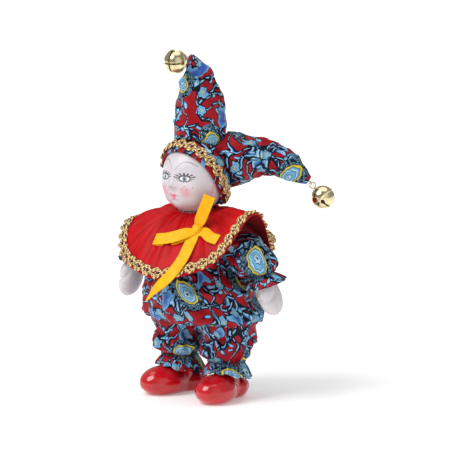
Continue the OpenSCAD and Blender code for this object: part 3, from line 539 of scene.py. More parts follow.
# Height, radius and how deep the pleats are, from the inner hem round the ruffle and up to the thigh.
leg_stations = [
    (26, 7.1, 0), (20.8, 7.1, 0), (17.5, 9.6, 0.3), (RUFFLE_Z, 11.9, 1), (15.9, 12.6, 1), (18.2, 10.6, 0.9),
    (20, 8.8, 0.35), (21.6, 10.2, 0.8), (24.2, 13.1, 0.8), (27.4, 13.5, 0.5), (31.6, 12.0, 0.3)]
leg_line = curve(leg_stations, np.linspace(0, 1, 80))
ball_turn = np.radians(np.linspace(129, 5, 24))
leg_line = np.concatenate([leg_line, np.stack([
    HIP_Z + THIGH_R * np.cos(ball_turn), THIGH_R * np.sin(ball_turn), 0 * ball_turn], axis=1)])
leg_z, leg_r, leg_pleat = (column[:, None] for column in leg_line.T)
outside = np.arange(len(leg_line))[:, None] > INSIDE_ROWS
ridge_share = outside * ramp(leg_z, 19.5, 22.5) * ramp(leg_z, 38.5, 30.5)
turn = turn_points(LEG_COLS)[None]
full_share = outside * bump(leg_z - HIP_FULL_Z, 3.8) * bump(from_angle(np.degrees(turn), HIP_FULL_TURN), 50)
legs = {}
for name, side in SIDES.items():
    seed = 1.3 + side
    ridges = creases(LEG_GIRTH, leg_line[:, 0], across_mm=6, along_mm=9, seed=5.5 + side, cols=LEG_COLS,
                     level=0.62)
    leg_grow = (leg_r + LEG_GATHER * leg_pleat * gathers(turn, count=17, seed=seed)
                + LEG_RIDGE * ridges * ridge_share + HIP_FULL[name] * full_share)
    beside_toe = 1 - bump(from_angle(np.degrees(turn), side * TOE_TURN - 90), TOE_ROOM)
    hang = RUFFLE_DIP * beside_toe * ramp(leg_z, 19.6, 16.0)
    frill = RUFFLE_WAVE * leg_pleat * np.sin(9 * turn + seed) * bump(leg_z - RUFFLE_Z, 2)
    rings = np.stack([leg_grow * np.cos(turn) + side * LEG_X, leg_grow * np.sin(turn) + HIPS_BACK,
                      leg_z + frill - hang], axis=-1)
    legs[name] = skin(f"satin_{name}_trouser_leg", rings, cut=(300 + 90 * side, 170))
print("trouser legs", len(legs))

# %% Sleeves
WRIST_HALF, FRILL_R, FRILL_WIDER, FRILL_LONGER, SLEEVE_CROWN = 6, 9.2, 2.2, 2.6, 1.7
FRILL_TURN = math.radians(115)
FRILL_HANG = {"right": 0.2, "left": 1}
SLEEVE_COLS, SLEEVE_GIRTH, SLEEVE_LEN, SLEEVE_GATHER, SLEEVE_RIDGE, CUFF_FROM = 112, 60, 30, 0.6, 2.3, 0.93
sleeve_stations = [(SEAT, 0, 0, 6.3), (6.8, 0, -0.21, 8.8), (13.6, 0, -3.26, 10), (18.8, 0, -6.51, 9.0),
                   (20, 0, -10.5, 6)]
sleeve_u = np.linspace(0, CUFF_FROM, 60)
sleeve_line = curve(sleeve_stations, sleeve_u)
heading = unit(np.gradient(sleeve_line[:, :3], axis=0))
heading[0] = (1, 0, 0)
# Place down the cuff, radius and how deep the pleats are, round the frill and back inside.
cuff_stations = [(-0.6, WRIST_HALF, 0.4), (0.6, WRIST_HALF, 0.4), (1.8, 7.6, 0.9), (3.0, 8.9, 1),
                 (3.7, FRILL_R, 1), (3.8, 8.5, 1), (2, 6.4, 0.5), (0.6, 4.4, 0), (-6, 4.4, 0)]
cuff_down, cuff_r, cuff_pleat = curve(cuff_stations, np.linspace(0, 1, 44)).T
sleeve_centre = np.concatenate([sleeve_line[:, :3], CUFF_MID + cuff_down[:, None] * CUFF_DIR])
sleeve_across = np.cross(np.concatenate([heading, np.tile(CUFF_DIR, (len(cuff_r), 1))]), [0, 1, 0])
sleeve_way = np.concatenate([sleeve_u * SLEEVE_LEN, SLEEVE_LEN + np.arange(len(cuff_r)) * 0.3])


def whole(on_sleeve, on_cuff):
    """One value per row, down the sleeve and then down the cuff."""
    return np.concatenate([on_sleeve, on_cuff])[:, None]


sleeve_r = whole(sleeve_line[:, 3], cuff_r)
sleeve_pleat = whole(0.2 + 0.6 * bump(sleeve_u - CUFF_FROM, 0.3) + 0.3 * bump(sleeve_u, 0.2), cuff_pleat)
puffed = whole(ramp(sleeve_u, 0, 0.15) * ramp(sleeve_u, 0.97, 0.87), 0 * cuff_r)
frill_share = whole(0 * sleeve_u, ramp(cuff_r, WRIST_HALF, FRILL_R))
crown_share = whole(bump(sleeve_u - 0.3, 0.22), 0 * cuff_r)
turn = turn_points(SLEEVE_COLS)[None]
sleeves = {}
for name, side in SIDES.items():
    ridges = creases(SLEEVE_GIRTH, sleeve_way, across_mm=6, along_mm=10, seed=11.3 + side, cols=SLEEVE_COLS,
                     level=0.55)
    pleats = gathers(turn, count=14, seed=0.8 - side) * np.minimum(1, sleeve_r / WRIST_HALF - 0.6)
    outer = (1 + np.cos(turn - FRILL_TURN)) / 2 * frill_share * FRILL_HANG[name]
    sleeve_grow = (sleeve_r + SLEEVE_GATHER * sleeve_pleat * pleats + SLEEVE_RIDGE * puffed * ridges
                   + FRILL_WIDER * outer + SLEEVE_CROWN * crown_share * np.maximum(0, np.sin(turn)) ** 2)
    front = np.tile([0, 1, 0], (len(sleeve_across), 1))
    rings = tube(sleeve_centre, front, sleeve_across, sleeve_grow, sleeve_grow)
    rings = rings + FRILL_LONGER * outer[..., None] * CUFF_DIR
    sleeves[name] = skin(f"satin_{name}_sleeve", on_arm(rings, side), cut=(600 + 70 * side, 40))
print("sleeves", len(sleeves))

# %% [markdown]
# ## Cap
# The cap is a hood with two stuffed horns, one standing and one drooping. The hood follows the
# head, a cloth thickness away, and stops along a slanted edge round the face. Each horn grows out
# of the hood along a seam, so its first rings lie on the hood's own surface.

# %% Hood
CAP_TILT = math.radians(29)
FACE_DIR = np.array([0, -math.cos(CAP_TILT), -math.sin(CAP_TILT)])
HOOD_E = np.array([1, 0, 0])
HOOD_F = np.cross(FACE_DIR, HOOD_E)
HOOD_IN, HOOD_OUT, HOOD_RIDGE, HOOD_GIRTH = 2 * SEAT, 2 * SEAT + 1.4, 0.7, 115
BRAID_W = 6.2
BRAID_HALF = math.degrees(BRAID_W / 33)
HOOD_COLS, HOOD_ROWS, EDGE_PAST_BRAID = 160, 60, 3.5
BROW_EDGE, CHIN_RISE = 88.5, 20


def braid_line(lon):
    """The braid's middle line round the face, in degrees from the back of the hood."""
    return BROW_EDGE - CHIN_RISE * ((1 - np.sin(lon)) / 2) ** 5


def hood_points(turn_deg, lon, grow):
    t = np.radians(turn_deg)[..., None]
    round_way = np.cos(lon)[..., None] * HOOD_E + np.sin(lon)[..., None] * HOOD_F
    d = -np.cos(t) * FACE_DIR + np.sin(t) * round_way
    return HEAD_MID + d * (egg(d, 0) + grow)


lon = turn_points(HOOD_COLS)[None]
share = np.linspace(0.03, 1, HOOD_ROWS)[:, None]
rim = braid_line(lon) + BRAID_HALF + EDGE_PAST_BRAID
hood_ridges = creases(HOOD_GIRTH, share[:, 0] * 30, across_mm=7, along_mm=10, seed=21.0, cols=HOOD_COLS)
hood_swell = HOOD_RIDGE * (hood_ridges * (1 - share ** 4) - 0.5)[..., None]
hood_outside = hood_points(share * rim, lon, HOOD_OUT + hood_swell)
hood_lip = hood_points(rim + 0.8, lon, (HOOD_IN + HOOD_OUT) / 2)
hood_inside = hood_points(share[::-2] * rim, lon, HOOD_IN)
hood = skin("satin_hood", np.concatenate([hood_outside, hood_lip, hood_inside]))
print("hood", len(hood.data.polygons), "faces")

# %% Horns
HORN_TURN = math.radians(42)
HORN_COLS, HORN_ROWS, HORN_GIRTH, HORN_RIDGE, HORN_SMALL = 96, 90, 86, 1.8, 0.7
HOOD_ROUND = HEAD_HALF[1:] + HOOD_OUT + SEAT
STAND_MID, STAND_R, STAND_FOOT, STAND_LOW_Z = np.array([2.5, 4.7]), 13.8, 13.3, 9
HORN_UP, HORN_OUT, HORN_DROP = 61.3, 58, 3
DROOP_Y, DROOP_Z, DROOP_R, DROOP_FOOT, BEND_Z = 3, 8, 14.5, 12.4, 7.3


def on_hat(points):
    """From the horns' own frame, turned about the upright axis, to the doll."""
    return turned(points, HORN_TURN, 0, 1) + HEAD_MID


def hood_height(x, y):
    return HOOD_ROUND[1] * np.sqrt(np.maximum(0, 1 - (x * x + y * y) / HOOD_ROUND[0] ** 2))


def side_reach(y, z):
    """How far out the hood, or the standing horn above it, lies at a height."""
    hood_side = np.sqrt(np.maximum(0, (1 - (z / HOOD_ROUND[1]) ** 2) * HOOD_ROUND[0] ** 2 - y * y))
    horn_side = STAND_MID[0] + np.sqrt(np.maximum(0, (STAND_R + SEAT) ** 2 - (y - STAND_MID[1]) ** 2))
    return np.maximum(hood_side, np.where(z < STAND_LOW_Z, 0, horn_side))


stand_stations = [(x, y, HORN_UP * up, STAND_R * r) for x, y, up, r in (
    (2.5, 4.7, 0.33, 0.96), (3, 4.7, 0.43, 1), (2.7, 4.6, 0.58, 0.875), (2, 4.5, 0.73, 0.76),
    (1.2, 4.4, 0.832, 0.6), (0.4, 4.3, 0.884, 0.42), (-0.7, 4.2, 0.935, 0.27), (-1.8, 4.1, 0.976, 0.17),
    (-2.8, 4, 1, 0.11))]
fall = BEND_Z + HORN_DROP
droop_stations = [(HORN_OUT * out, DROOP_Y, z, DROOP_R * r) for out, z, r in (
    (0.38, 8.6, 0.95), (0.5, 9.4, 0.76), (0.61, 8.9, 0.64), (0.725, 6.9, 0.57),
    (0.82, BEND_Z - 0.32 * fall, 0.52), (0.915, BEND_Z - 0.66 * fall, 0.33),
    (0.97, BEND_Z - 0.88 * fall, 0.21), (1, -HORN_DROP, 0.15))]


def horn(name, foot_rings, stations, e, seed):
    """A stuffed cone: rings on the hood, then rings along the stations with soft ridges."""
    line = curve(stations, np.linspace(0, 1, HORN_ROWS))
    middle, r = line[:, :3], line[:, 3:]
    way = unit(np.gradient(middle, axis=0))
    first = square_to(np.array(e), way)
    walk = np.concatenate([[0], np.cumsum(np.linalg.norm(np.diff(middle, axis=0), axis=1))])
    folds = HORN_RIDGE * creases(
        HORN_GIRTH, walk, across_mm=8, along_mm=13, seed=seed, cols=HORN_COLS, level=0.58)
    folds += HORN_SMALL * creases(
        HORN_GIRTH, walk, across_mm=5, along_mm=6, seed=seed + 4, cols=HORN_COLS, level=0.5)
    r = r + folds * ramp(walk, 0, 5)[:, None] * ramp(r, 0, 7)
    cone = tube(middle, first, np.cross(way, first), r, r)
    return skin(name, on_hat(np.concatenate([foot_rings, cone])), cone=True)


turn = turn_points(HORN_COLS)[None]
spread = np.linspace(0.1, 1, 10)[:, None]
foot_x = STAND_MID[0] + spread * STAND_FOOT * np.cos(turn)
foot_y = STAND_MID[1] + spread * STAND_FOOT * np.sin(turn)
stand_foot = np.stack([foot_x, foot_y, hood_height(foot_x, foot_y) + SEAT], axis=-1)
right_horn = horn("satin_right_horn", stand_foot, stand_stations, e=(1, 0, 0), seed=31.0)
foot_y = DROOP_Y + spread * DROOP_FOOT * np.cos(turn)
foot_z = DROOP_Z + spread * DROOP_R * np.sin(turn)
droop_foot = np.stack([side_reach(foot_y, foot_z) + SEAT, foot_y, foot_z], axis=-1)
left_horn = horn("satin_left_horn", droop_foot, droop_stations, e=(0, 1, 0), seed=45.0)
print("horns", len(right_horn.data.polygons) + len(left_horn.data.polygons), "faces")

# %% [markdown]
# ## Collar
# The collar is a strip of red satin drawn up at the neck and left full at its edge. The same edge
# function as in the CAD source gives its fall; here it also sags behind the left arm, and its
# gathers are deeper and finer.

# %% Collar fall
COLLAR_NECK_R, COLLAR_R, COLLAR_T, COLLAR_LOW_Z = 8.6, 39, 0.9, 95.4
COLLAR_DROP, COLLAR_SLOPE, COLLAR_ARCH, COLLAR_FALL = 16, 24, 20, 1.7
LOWEST_TURN, FLUTES, FLUTE_H = -85, 7, 0.8
COLLAR_SAG, SAG_TURN, SAG_WIDE = 15.5, 82, 40
# Share of the arch, its middle and its width: over the left arm, the fold behind, over the right arm.
ARCHES = ((1, -2, 27), (-0.5, 28, 12), (0.5, -160, 38))


def edge_z(a):
    """Height of the collar's edge: tilted, arched over both arms, fluted, and sagging behind."""
    arch = sum(share * bump(from_angle(a, middle), wide) for share, middle, wide in ARCHES)
    return (COLLAR_LOW_Z - COLLAR_DROP - COLLAR_SLOPE / 2 * np.cos(np.radians(a - LOWEST_TURN))
            + COLLAR_ARCH * arch + FLUTE_H * np.cos(np.radians(FLUTES * a))
            - COLLAR_SAG * bump(from_angle(a, SAG_TURN), SAG_WIDE))


def collar_points(a, k, lift):
    """Points on the collar at angle a in degrees, k from 0 at the neck to 1 at the edge."""
    a, k = np.broadcast_arrays(np.asarray(a, float), np.asarray(k, float))
    t = np.radians(a)
    r = mix(COLLAR_NECK_R, COLLAR_R, k)
    z = mix(COLLAR_LOW_Z, edge_z(a), np.maximum(k, 0) ** COLLAR_FALL) + lift
    return np.stack([r * np.cos(t), r * np.sin(t) - NECK_FRONT, z], axis=-1)


print("collar edge", round(float(edge_z(LOWEST_TURN)), 1), "mm high in front")

# %% Collar gathers
COLLAR_COLS, COLLAR_ROWS, FRONT_TURN, BOW_TURN = 480, 60, -90, -60
NECK_PLEAT, NECK_ROLL, BROAD_PLEAT, FINE_PLEAT, SHOULDER_PUFF = 0.75, 1.0, 11.0, 5.0, 3
collar_a = np.arange(COLLAR_COLS)[None] * 360 / COLLAR_COLS
collar_k = np.linspace(0, 1, COLLAR_ROWS)[:, None] ** 1.3
collar_turn = np.radians(collar_a)


def around(middle, wide):
    """1 at an angle on the collar, and softly down to 0 on both sides."""
    return bump(from_angle(collar_a, middle), wide)


# Where the cloth lies flatter: under the bow, under the chin, and under the hood, which has to turn.
under_bow = 1 - 0.72 * around(BOW_TURN, wide=27) * bump(collar_k - 0.6, width=0.34)
under_chin = 1 - 0.6 * around(FRONT_TURN, wide=70) * bump(collar_k, width=0.14)
chin_room = 1 - 0.8 * around(FRONT_TURN, wide=75) * bump(collar_k, width=0.2)
hood_room = 1 - 0.68 * (1 - around(-88, wide=45)) * bump(collar_k - 0.2, width=0.32)
# The shoulders stand out, but not in front, and the far one less.
full_shoulder = (1 - around(-52, wide=55)) * (1 - 0.9 * around(-148, wide=50))
full_shoulder = full_shoulder * bump(collar_k - 0.42, width=0.24)
neck_pleats = (1 + gathers(collar_turn, count=34, seed=0.6)) * ramp(collar_k, 0, 0.06)
neck_pleats = neck_pleats * np.exp(-3.8 * collar_k)
pleats = (BROAD_PLEAT * gathers(collar_turn, count=13, seed=2.2)
          + FINE_PLEAT * gathers(collar_turn, count=27, seed=4.1))
pleat_share = collar_k * np.exp(-2.4 * collar_k) * np.minimum(1, (1.02 - collar_k) / 0.3)
collar_fold = (NECK_PLEAT * under_chin * neck_pleats
               + SHOULDER_PUFF * full_shoulder
               + under_bow * chin_room * hood_room * pleats * pleat_share
               + NECK_ROLL * under_chin * bump(collar_k - 0.055, width=0.035))
collar_top = collar_points(collar_a, collar_k, COLLAR_T + collar_fold)
collar_under = collar_points(collar_a, collar_k[::-1], collar_fold[::-1])
collar_slope_mm = np.linalg.norm(np.diff(collar_under, axis=0), axis=2).mean(axis=1).sum()
collar = skin("satin_collar", np.concatenate([collar_under, collar_top]), loop=True)
print("collar", round(float(np.ptp(collar_top[..., 0])), 1), "mm across")

# %% [markdown]
# ## Gold gimp braid
# Gimp is a trimming of thick cords wound with metal thread and plaited flat. Two pairs of cords that
# swing from side to side and pass over and under each other make its row of round eyes; a core
# with small beads shows through the eyes, painted dark there as the shade under the cords.

# %% Braid
EYE_PITCH, EYE_STEPS, CORD_R, SWING, INNER_SWING = 6.2, 20, 0.62, 2.5, 0.56
CORD_LIFT, CORD_WEAVE, BEAD_R, BEAD_LIFT = 0.25, 0.3, 0.85, 0.7
CORE_SECTION = [(1.7, 0), (0, -0.05), (-2.6, 0), (-2.6, 0.3), (0, 0.45), (1.7, 0.3)]


def even_angles(points, count):
    """Parameters of a closed path, a share of its round, that divide its length evenly."""
    steps = np.linalg.norm(np.diff(np.concatenate([points, points[:1]]), axis=0), axis=1)
    walk = np.concatenate([[0], np.cumsum(steps)])
    return np.interp(np.arange(count) / count * walk[-1], walk, np.linspace(0, 1, len(walk))), walk[-1]


def closed_tube(name, centres, out, radius, cols):
    way = unit(np.roll(centres, -1, axis=0) - np.roll(centres, 1, axis=0))
    first = square_to(out, way)
    size = np.full((len(centres), cols), radius)
    return skin(name, tube(centres, first, np.cross(way, first), size, size), loop=True)


def gimp(name, path_at):
    """path_at(share) gives the middle line, the direction across and the direction away from the
    cloth."""
    dense = path_at(np.arange(1200) / 1200)[0]
    eyes = 2 * round(even_angles(dense, 1)[1] / EYE_PITCH / 2)
    middle, across, out = path_at(even_angles(dense, eyes * EYE_STEPS)[0])
    phase = np.arange(eyes * EYE_STEPS)[:, None] * math.pi / EYE_STEPS
    cords = []
    for side in (1, -1):
        lift = CORD_R + CORD_LIFT + CORD_WEAVE * side * np.sin(phase)
        for swing in (SWING, SWING * INNER_SWING):
            cord_line = middle + side * across * swing * np.cos(phase) + out * lift
            cords.append(closed_tube("cord", cord_line, out, CORD_R, cols=10))
    core_rings = np.stack([middle + across * x + out * y for x, y in CORE_SECTION], axis=1)
    core = [skin("core", core_rings, loop=True)]
    ball = np.radians(np.linspace(10, 170, 8))
    ball_turn = turn_points(10)[:, None]
    for i in range(0, eyes * EYE_STEPS, EYE_STEPS):
        girdle = np.cos(ball_turn) * across[i] + np.sin(ball_turn) * np.cross(out[i], across[i])
        core.append(skin("bead", np.stack([
            middle[i] + out[i] * BEAD_LIFT + BEAD_R * (out[i] * math.cos(b) + math.sin(b) * girdle)
            for b in ball])))
    return joined(f"gimp_{name}_braid", cords), joined(f"gimp_{name}_core", core)


BRAID_OVERHANG, BRAID_FORWARD, ON_COLLAR, ON_HOOD = 0.9, 2.5, 0.15, 0.1


def collar_braid_path(share):
    a = share * 360
    slope = np.hypot(COLLAR_R - COLLAR_NECK_R, COLLAR_FALL * (edge_z(a) - COLLAR_LOW_Z))
    k = 1 - (BRAID_W / 2 - BRAID_OVERHANG) / slope
    across = unit(collar_points(a, k + 0.02, 0) - collar_points(a, k - 0.02, 0))
    along = collar_points(a + 1, k, 0) - collar_points(a - 1, k, 0)
    out = unit(np.cross(across, along))
    return collar_points(a, k, COLLAR_T) + out * ON_COLLAR, across, out


def hood_braid_path(share):
    lon = share * 2 * math.pi
    turn_deg = braid_line(lon) + BRAID_FORWARD
    across = unit(hood_points(turn_deg + 1, lon, 0) - hood_points(turn_deg - 1, lon, 0))
    along = (hood_points(braid_line(lon + 0.01) + BRAID_FORWARD, lon + 0.01, 0)
             - hood_points(braid_line(lon - 0.01) + BRAID_FORWARD, lon - 0.01, 0))
    out = unit(np.cross(across, along))
    middle = hood_points(turn_deg, lon, HOOD_OUT + ON_HOOD)
    return middle, across, out * np.sign((out * (middle - HEAD_MID)).sum(axis=1, keepdims=True))


collar_braid, collar_core = gimp("collar", collar_braid_path)
hood_braid, hood_core = gimp("hood", hood_braid_path)
print("braid faces", len(collar_braid.data.polygons), len(hood_braid.data.polygons))

# %% [markdown]
# ## Ribbon bow
# The bow is one length of 6 mm satin ribbon: two loops, a knot and two tails. A ribbon bends only
# across its face, so each part is a strip swept along a line with its width held square to it.

# %% Ribbon on the collar
RIBBON_W, RIBBON_T, RIBBON_CROWN, KNOT_TURN, KNOT_K = 6, 0.5, 0.25, -48, 0.5
KNOT_R = RIBBON_W * 0.3
KNOT_HALF = RIBBON_W * 0.22 + KNOT_R + 0.2
KNOT_LIFT = 0.5


def collar_down(a, k):
    return unit(collar_points(a, k + 0.05, 0) - collar_points(a, k - 0.05, 0))


def collar_out(a, k):
    return unit(np.cross(collar_down(a, k), collar_points(a + 3, k, 0) - collar_points(a - 3, k, 0)))


def turn_of(length):
    """Degrees round the collar that a length takes at the knot's distance from the neck."""
    return math.degrees(length / mix(COLLAR_NECK_R, COLLAR_R, KNOT_K))


def ribbon(name, line, width_way, widths):
    """A strip with a soft crown and slightly thicker edges."""
    way = unit(np.gradient(line, axis=0))
    g = square_to(width_way, way)
    f = np.cross(way, g)
    across = np.linspace(1, -1, 13)
    thick = RIBBON_T / 2 * (0.7 + 0.3 * np.abs(across) ** 6)
    section = [(x, RIBBON_CROWN * (0.5 - x * x) + t) for x, t in zip(across, thick)]
    section += [(x, RIBBON_CROWN * (0.5 - x * x) - t) for x, t in zip(across[::-1], thick[::-1])]
    half = np.asarray(widths)[:, None] / 2
    return skin(name, np.stack([line + g * half * x + f * y for x, y in section], axis=1))


knot_mid = collar_points(KNOT_TURN, KNOT_K, COLLAR_T + KNOT_LIFT + KNOT_R)
print("knot", np.round(knot_mid, 1))

# %% Loops
LOOP_H, LOOP_OPEN, IN_KNOT = 1.3, 10, 0.6
SIDE_LOOP, SIDE_LOOP_K, SIDE_LOOP_H, UPPER_LOOP = 16.5, 0.63, 0.8, 15.8
SIDE_STAND = np.array([0, 0, -0.5])
UPPER_DIR, UPPER_OUT = unit([0.22, 0.3, 0.93]), unit([0.66, -0.73, 0.25])
loop_turn = np.radians(np.linspace(LOOP_OPEN, 360 - LOOP_OPEN, 72))
loop_swing = (1 - np.cos(loop_turn)) / 2
loop_height = LOOP_H * (1 - bump(loop_swing, 0.12)) * np.sin(loop_turn)
loop_widths = RIBBON_W * (1 - 0.42 * bump(loop_swing, 0.16))
side_a = KNOT_TURN - turn_of(IN_KNOT) - turn_of(SIDE_LOOP + KNOT_HALF - IN_KNOT) * loop_swing
side_k = mix(KNOT_K, SIDE_LOOP_K, loop_swing)
side_lift = KNOT_LIFT + KNOT_R * (0.9 - 0.3 * loop_swing) + SIDE_LOOP_H * loop_height
side_line = collar_points(side_a, side_k, COLLAR_T) + side_lift[:, None] * collar_out(side_a, side_k)
side_loop = ribbon("ribbon_side_loop", side_line, collar_down(side_a, side_k) + SIDE_STAND, loop_widths)
upper_reach = IN_KNOT + (UPPER_LOOP + KNOT_R + 0.3 - IN_KNOT) * loop_swing
upper_line = knot_mid + UPPER_DIR * upper_reach[:, None] + UPPER_OUT * loop_height[:, None]
upper_across = np.tile(np.cross(UPPER_DIR, UPPER_OUT), (len(loop_turn), 1))
upper_loop = ribbon("ribbon_upper_loop", upper_line, upper_across, loop_widths)
print("loops", side_loop.name, upper_loop.name)

# %% Tails and knot
SHORT_TAIL, LONG_TAIL, TAIL_TURN = 10, 21, -67
TAIL_LIFT = COLLAR_T + 2 * SEAT + RIBBON_T / 2
OVER_BRAID = COLLAR_T + ON_COLLAR + 2.2 + RIBBON_T / 2
TAIL_DIR, TAIL_CURL = unit([-0.72, -0.04, -0.69]), np.array([0, 1.6, 0])
KNOT_LONG, KNOT_WIDE, KNOT_CREASE = 2.6, 2.0, 0.07


def laid(a, k, lift):
    """A station on the collar: its place, and the way that the ribbon's face looks there."""
    return np.concatenate([collar_points(a, k, 0) + lift * collar_out(a, k), collar_out(a, k)])


def tail(name, stations, point_from):
    """A ribbon from under the knot that is cut to a point from a share of its length on."""
    u = np.linspace(0, 1, 72)
    line = curve(stations, u)
    cut_off = 0.9 * ramp(u, point_from, 1)
    widths = RIBBON_W * (1 - cut_off) * (1 - 0.4 * bump(u, 0.12))
    across = np.cross(unit(line[:, 3:]), unit(np.gradient(line[:, :3], axis=0)))
    return ribbon(name, line[:, :3], across, widths)


under_knot = laid(KNOT_TURN, KNOT_K + 0.01, COLLAR_T + 0.9)
tail_edge = laid(TAIL_TURN, 1, OVER_BRAID)
long_stations = [
    under_knot,
    laid(KNOT_TURN - 6, KNOT_K + (KNOT_R + 2.2) / (COLLAR_R - COLLAR_NECK_R), TAIL_LIFT + 0.1),
    laid(mix(KNOT_TURN, TAIL_TURN, 0.6), 0.84, mix(TAIL_LIFT, OVER_BRAID, 0.55)),
    tail_edge,
    np.concatenate([tail_edge[:3] + TAIL_DIR * LONG_TAIL * 0.5 - TAIL_CURL, tail_edge[3:]]),
    np.concatenate([tail_edge[:3] + TAIL_DIR * LONG_TAIL, tail_edge[3:]])]
short_start = KNOT_TURN + turn_of(KNOT_HALF + 0.3)
short_stations = [under_knot] + [
    laid(short_start + turn_of(SHORT_TAIL) * 0.5 * s, KNOT_K + 0.02 + SHORT_TAIL * 0.026 * s,
         mix(TAIL_LIFT + 0.8, TAIL_LIFT + 0.3, s)) for s in (0, 0.5, 1)]
long_tail = tail("ribbon_long_tail", long_stations, point_from=0.72)
short_tail = tail("ribbon_short_tail", short_stations, point_from=0.999)

knot_out = collar_out(KNOT_TURN, KNOT_K)
knot_along = unit(np.cross([0, 0, 1], knot_out))
knot_lean = unit(np.cross(knot_out, knot_along) - 0.5 * knot_along)
knot_side = np.cross(knot_lean, knot_out)
turn = turn_points(48)[:, None]
knot_girdle = (1 + KNOT_CREASE * np.cos(5 * turn)) * (
    KNOT_R * np.cos(turn) * knot_out + KNOT_WIDE * np.sin(turn) * knot_side)
knot = skin("ribbon_knot", np.stack([
    knot_mid + knot_out * 0.3 + knot_lean * KNOT_LONG * math.cos(b) + math.sin(b) ** 0.6 * knot_girdle
    for b in np.radians(np.linspace(4, 176, 40))]))
print("bow", [o.name for o in (knot, side_loop, upper_loop, short_tail, long_tail)])

# %% [markdown]
# ## Threads and elastic
# Thread rings hold the collar, the cuffs and the bells. Each CAD ring gives its own place and
# size; two strands that twist round each other turn it into spun thread. The chin cord is a single
# covered elastic that lies on the face, so it follows the head's own relief.

# %% Threads
TWISTS_PER_MM, STRAND_OFF, STRAND_R = 0.8, 0.22, 0.27


def ring_of(node):
    """Middle, plane, radius and thickness of a ring-shaped CAD node, in metres."""
    co = np.array([v.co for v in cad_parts[node].data.vertices])
    middle = (co.max(axis=0) + co.min(axis=0)) / 2
    axes = np.linalg.svd(co - middle, full_matrices=False)[2]
    thick = np.ptp((co - middle) @ axes[2])
    return middle, axes, np.linalg.norm((co - middle) @ axes[:2].T, axis=1).max() - thick / 2, thick


def spun_ring(node):
    middle, axes, radius, thick = ring_of(node)
    rows = max(120, int(radius / MM * 30))
    t = turn_points(rows)[:, None]
    way = np.cos(t) * axes[0] + np.sin(t) * axes[1]
    twist = t * round(2 * math.pi * radius / MM * TWISTS_PER_MM)
    strands = []
    for start in (0, math.pi):
        line = (middle + way * (radius + thick * STRAND_OFF * np.cos(twist + start))
                + axes[2] * thick * STRAND_OFF * np.sin(twist + start))
        strands.append(closed_tube("strand", line / MM - BODY_AXIS, way, thick * STRAND_R / MM, cols=8))
    return joined(f"spun_{node}", strands)


thread_bodies = {"neck_tie": "torso", "collar_gather_thread": "torso",
                 "right_bell_thread": "head", "left_bell_thread": "head"}
elastic_bodies = {}
for name in SIDES:
    thread_bodies[f"{name}_wrist_tie"] = f"{name}_hand"
    thread_bodies[f"{name}_ankle_tie"] = f"{name}_shoe"
    elastic_bodies[f"{name}_cuff_elastic"] = f"{name}_arm"
    elastic_bodies[f"{name}_ankle_elastic"] = f"{name}_leg"
threads = {node: spun_ring(node) for node in (*thread_bodies, *elastic_bodies)}
print("threads", len(threads))

# %% Chin cord
CHIN_SPAN, CHIN_BACK, CHIN_FORWARD, CHIN_UP = 76.5, 0.2, 0.22, 0.12
chin_turn = np.radians(np.linspace(-CHIN_SPAN, CHIN_SPAN, 90))
chin_way = unit(np.stack([np.sin(chin_turn), -CHIN_BACK - CHIN_FORWARD * np.cos(chin_turn) ** 3,
                          CHIN_UP - np.cos(chin_turn)], axis=1))
chin_lon = np.degrees(np.arctan2(chin_way[:, 0], -chin_way[:, 1]))
chin_lat = np.degrees(np.arcsin(chin_way[:, 2]))
chin_r = np.tile((0.4 - 0.15 * np.cos(chin_turn))[:, None], (1, 12))
chin_out = egg(chin_way, 0) + face_relief(chin_lon, chin_lat)[:, None] + chin_r[:, :1]
chin_line = HEAD_MID + chin_way * chin_out
chin_heading = unit(np.gradient(chin_line, axis=0))
chin_side = unit(np.cross(chin_heading, chin_way))
chin_rings = tube(chin_line, chin_side, np.cross(chin_heading, chin_side), chin_r, chin_r)
chin_elastic = skin("chin_cord", chin_rings)
print("chin cord", len(chin_elastic.data.polygons), "faces")

# %% [markdown]
# ## Printed satin
# The suit is polyester satin with a screen print: a red ground with pale blue stems that are cut
# into joints and outlined in navy, leaves, rosettes, flat blue patches and paisley medallions with
# a yellow rim and a halo of fine work. An image could carry it, but motifs drawn from cells and
# contours in the cloth's own flat millimetres keep their size on every piece and never blur. Each
# ink is one screen: a mask and its colours, printed over what is there already.

# %% Satin weave
SLUB_MM, WAVE_ROUND = 4.0, 6.28


def satin_shader(tree, colour, roughness, weave_mm, flat):
    """Smooth thread floats: a low ridge every thread, a fine slub and a broad soft gloss."""
    # Real floats lie a tenth of a millimetre apart, too fine to show. A diagonal wave of this scale
    # draws a ridge every 2.8 times weave_mm, which just shows.
    ridges = add(tree, "TexWave", {
        "Vector": flat, "Scale": UV_MM / weave_mm / WAVE_ROUND, "Distortion": 1.5},
        bands_direction="DIAGONAL")
    slub = add(tree, "TexNoise", {"Vector": flat, "Scale": UV_MM / SLUB_MM, "Detail": 5.0})
    height = add(tree, "Math", {0: slub, 1: 2.5, 2: ridges}, operation="MULTIPLY_ADD")
    relief = add(tree, "Bump", {"Height": height, "Strength": 0.12, "Distance": 0.3 * MM})
    add(tree, "OutputMaterial", {"Surface": add(tree, "BsdfPrincipled", {
        "Base Color": colour, "Roughness": roughness, "Normal": relief, "Sheen Weight": 0.03,
        "Specular IOR Level": 0.12, "IOR": 1.54})})


print("satin slub every", SLUB_MM, "mm")

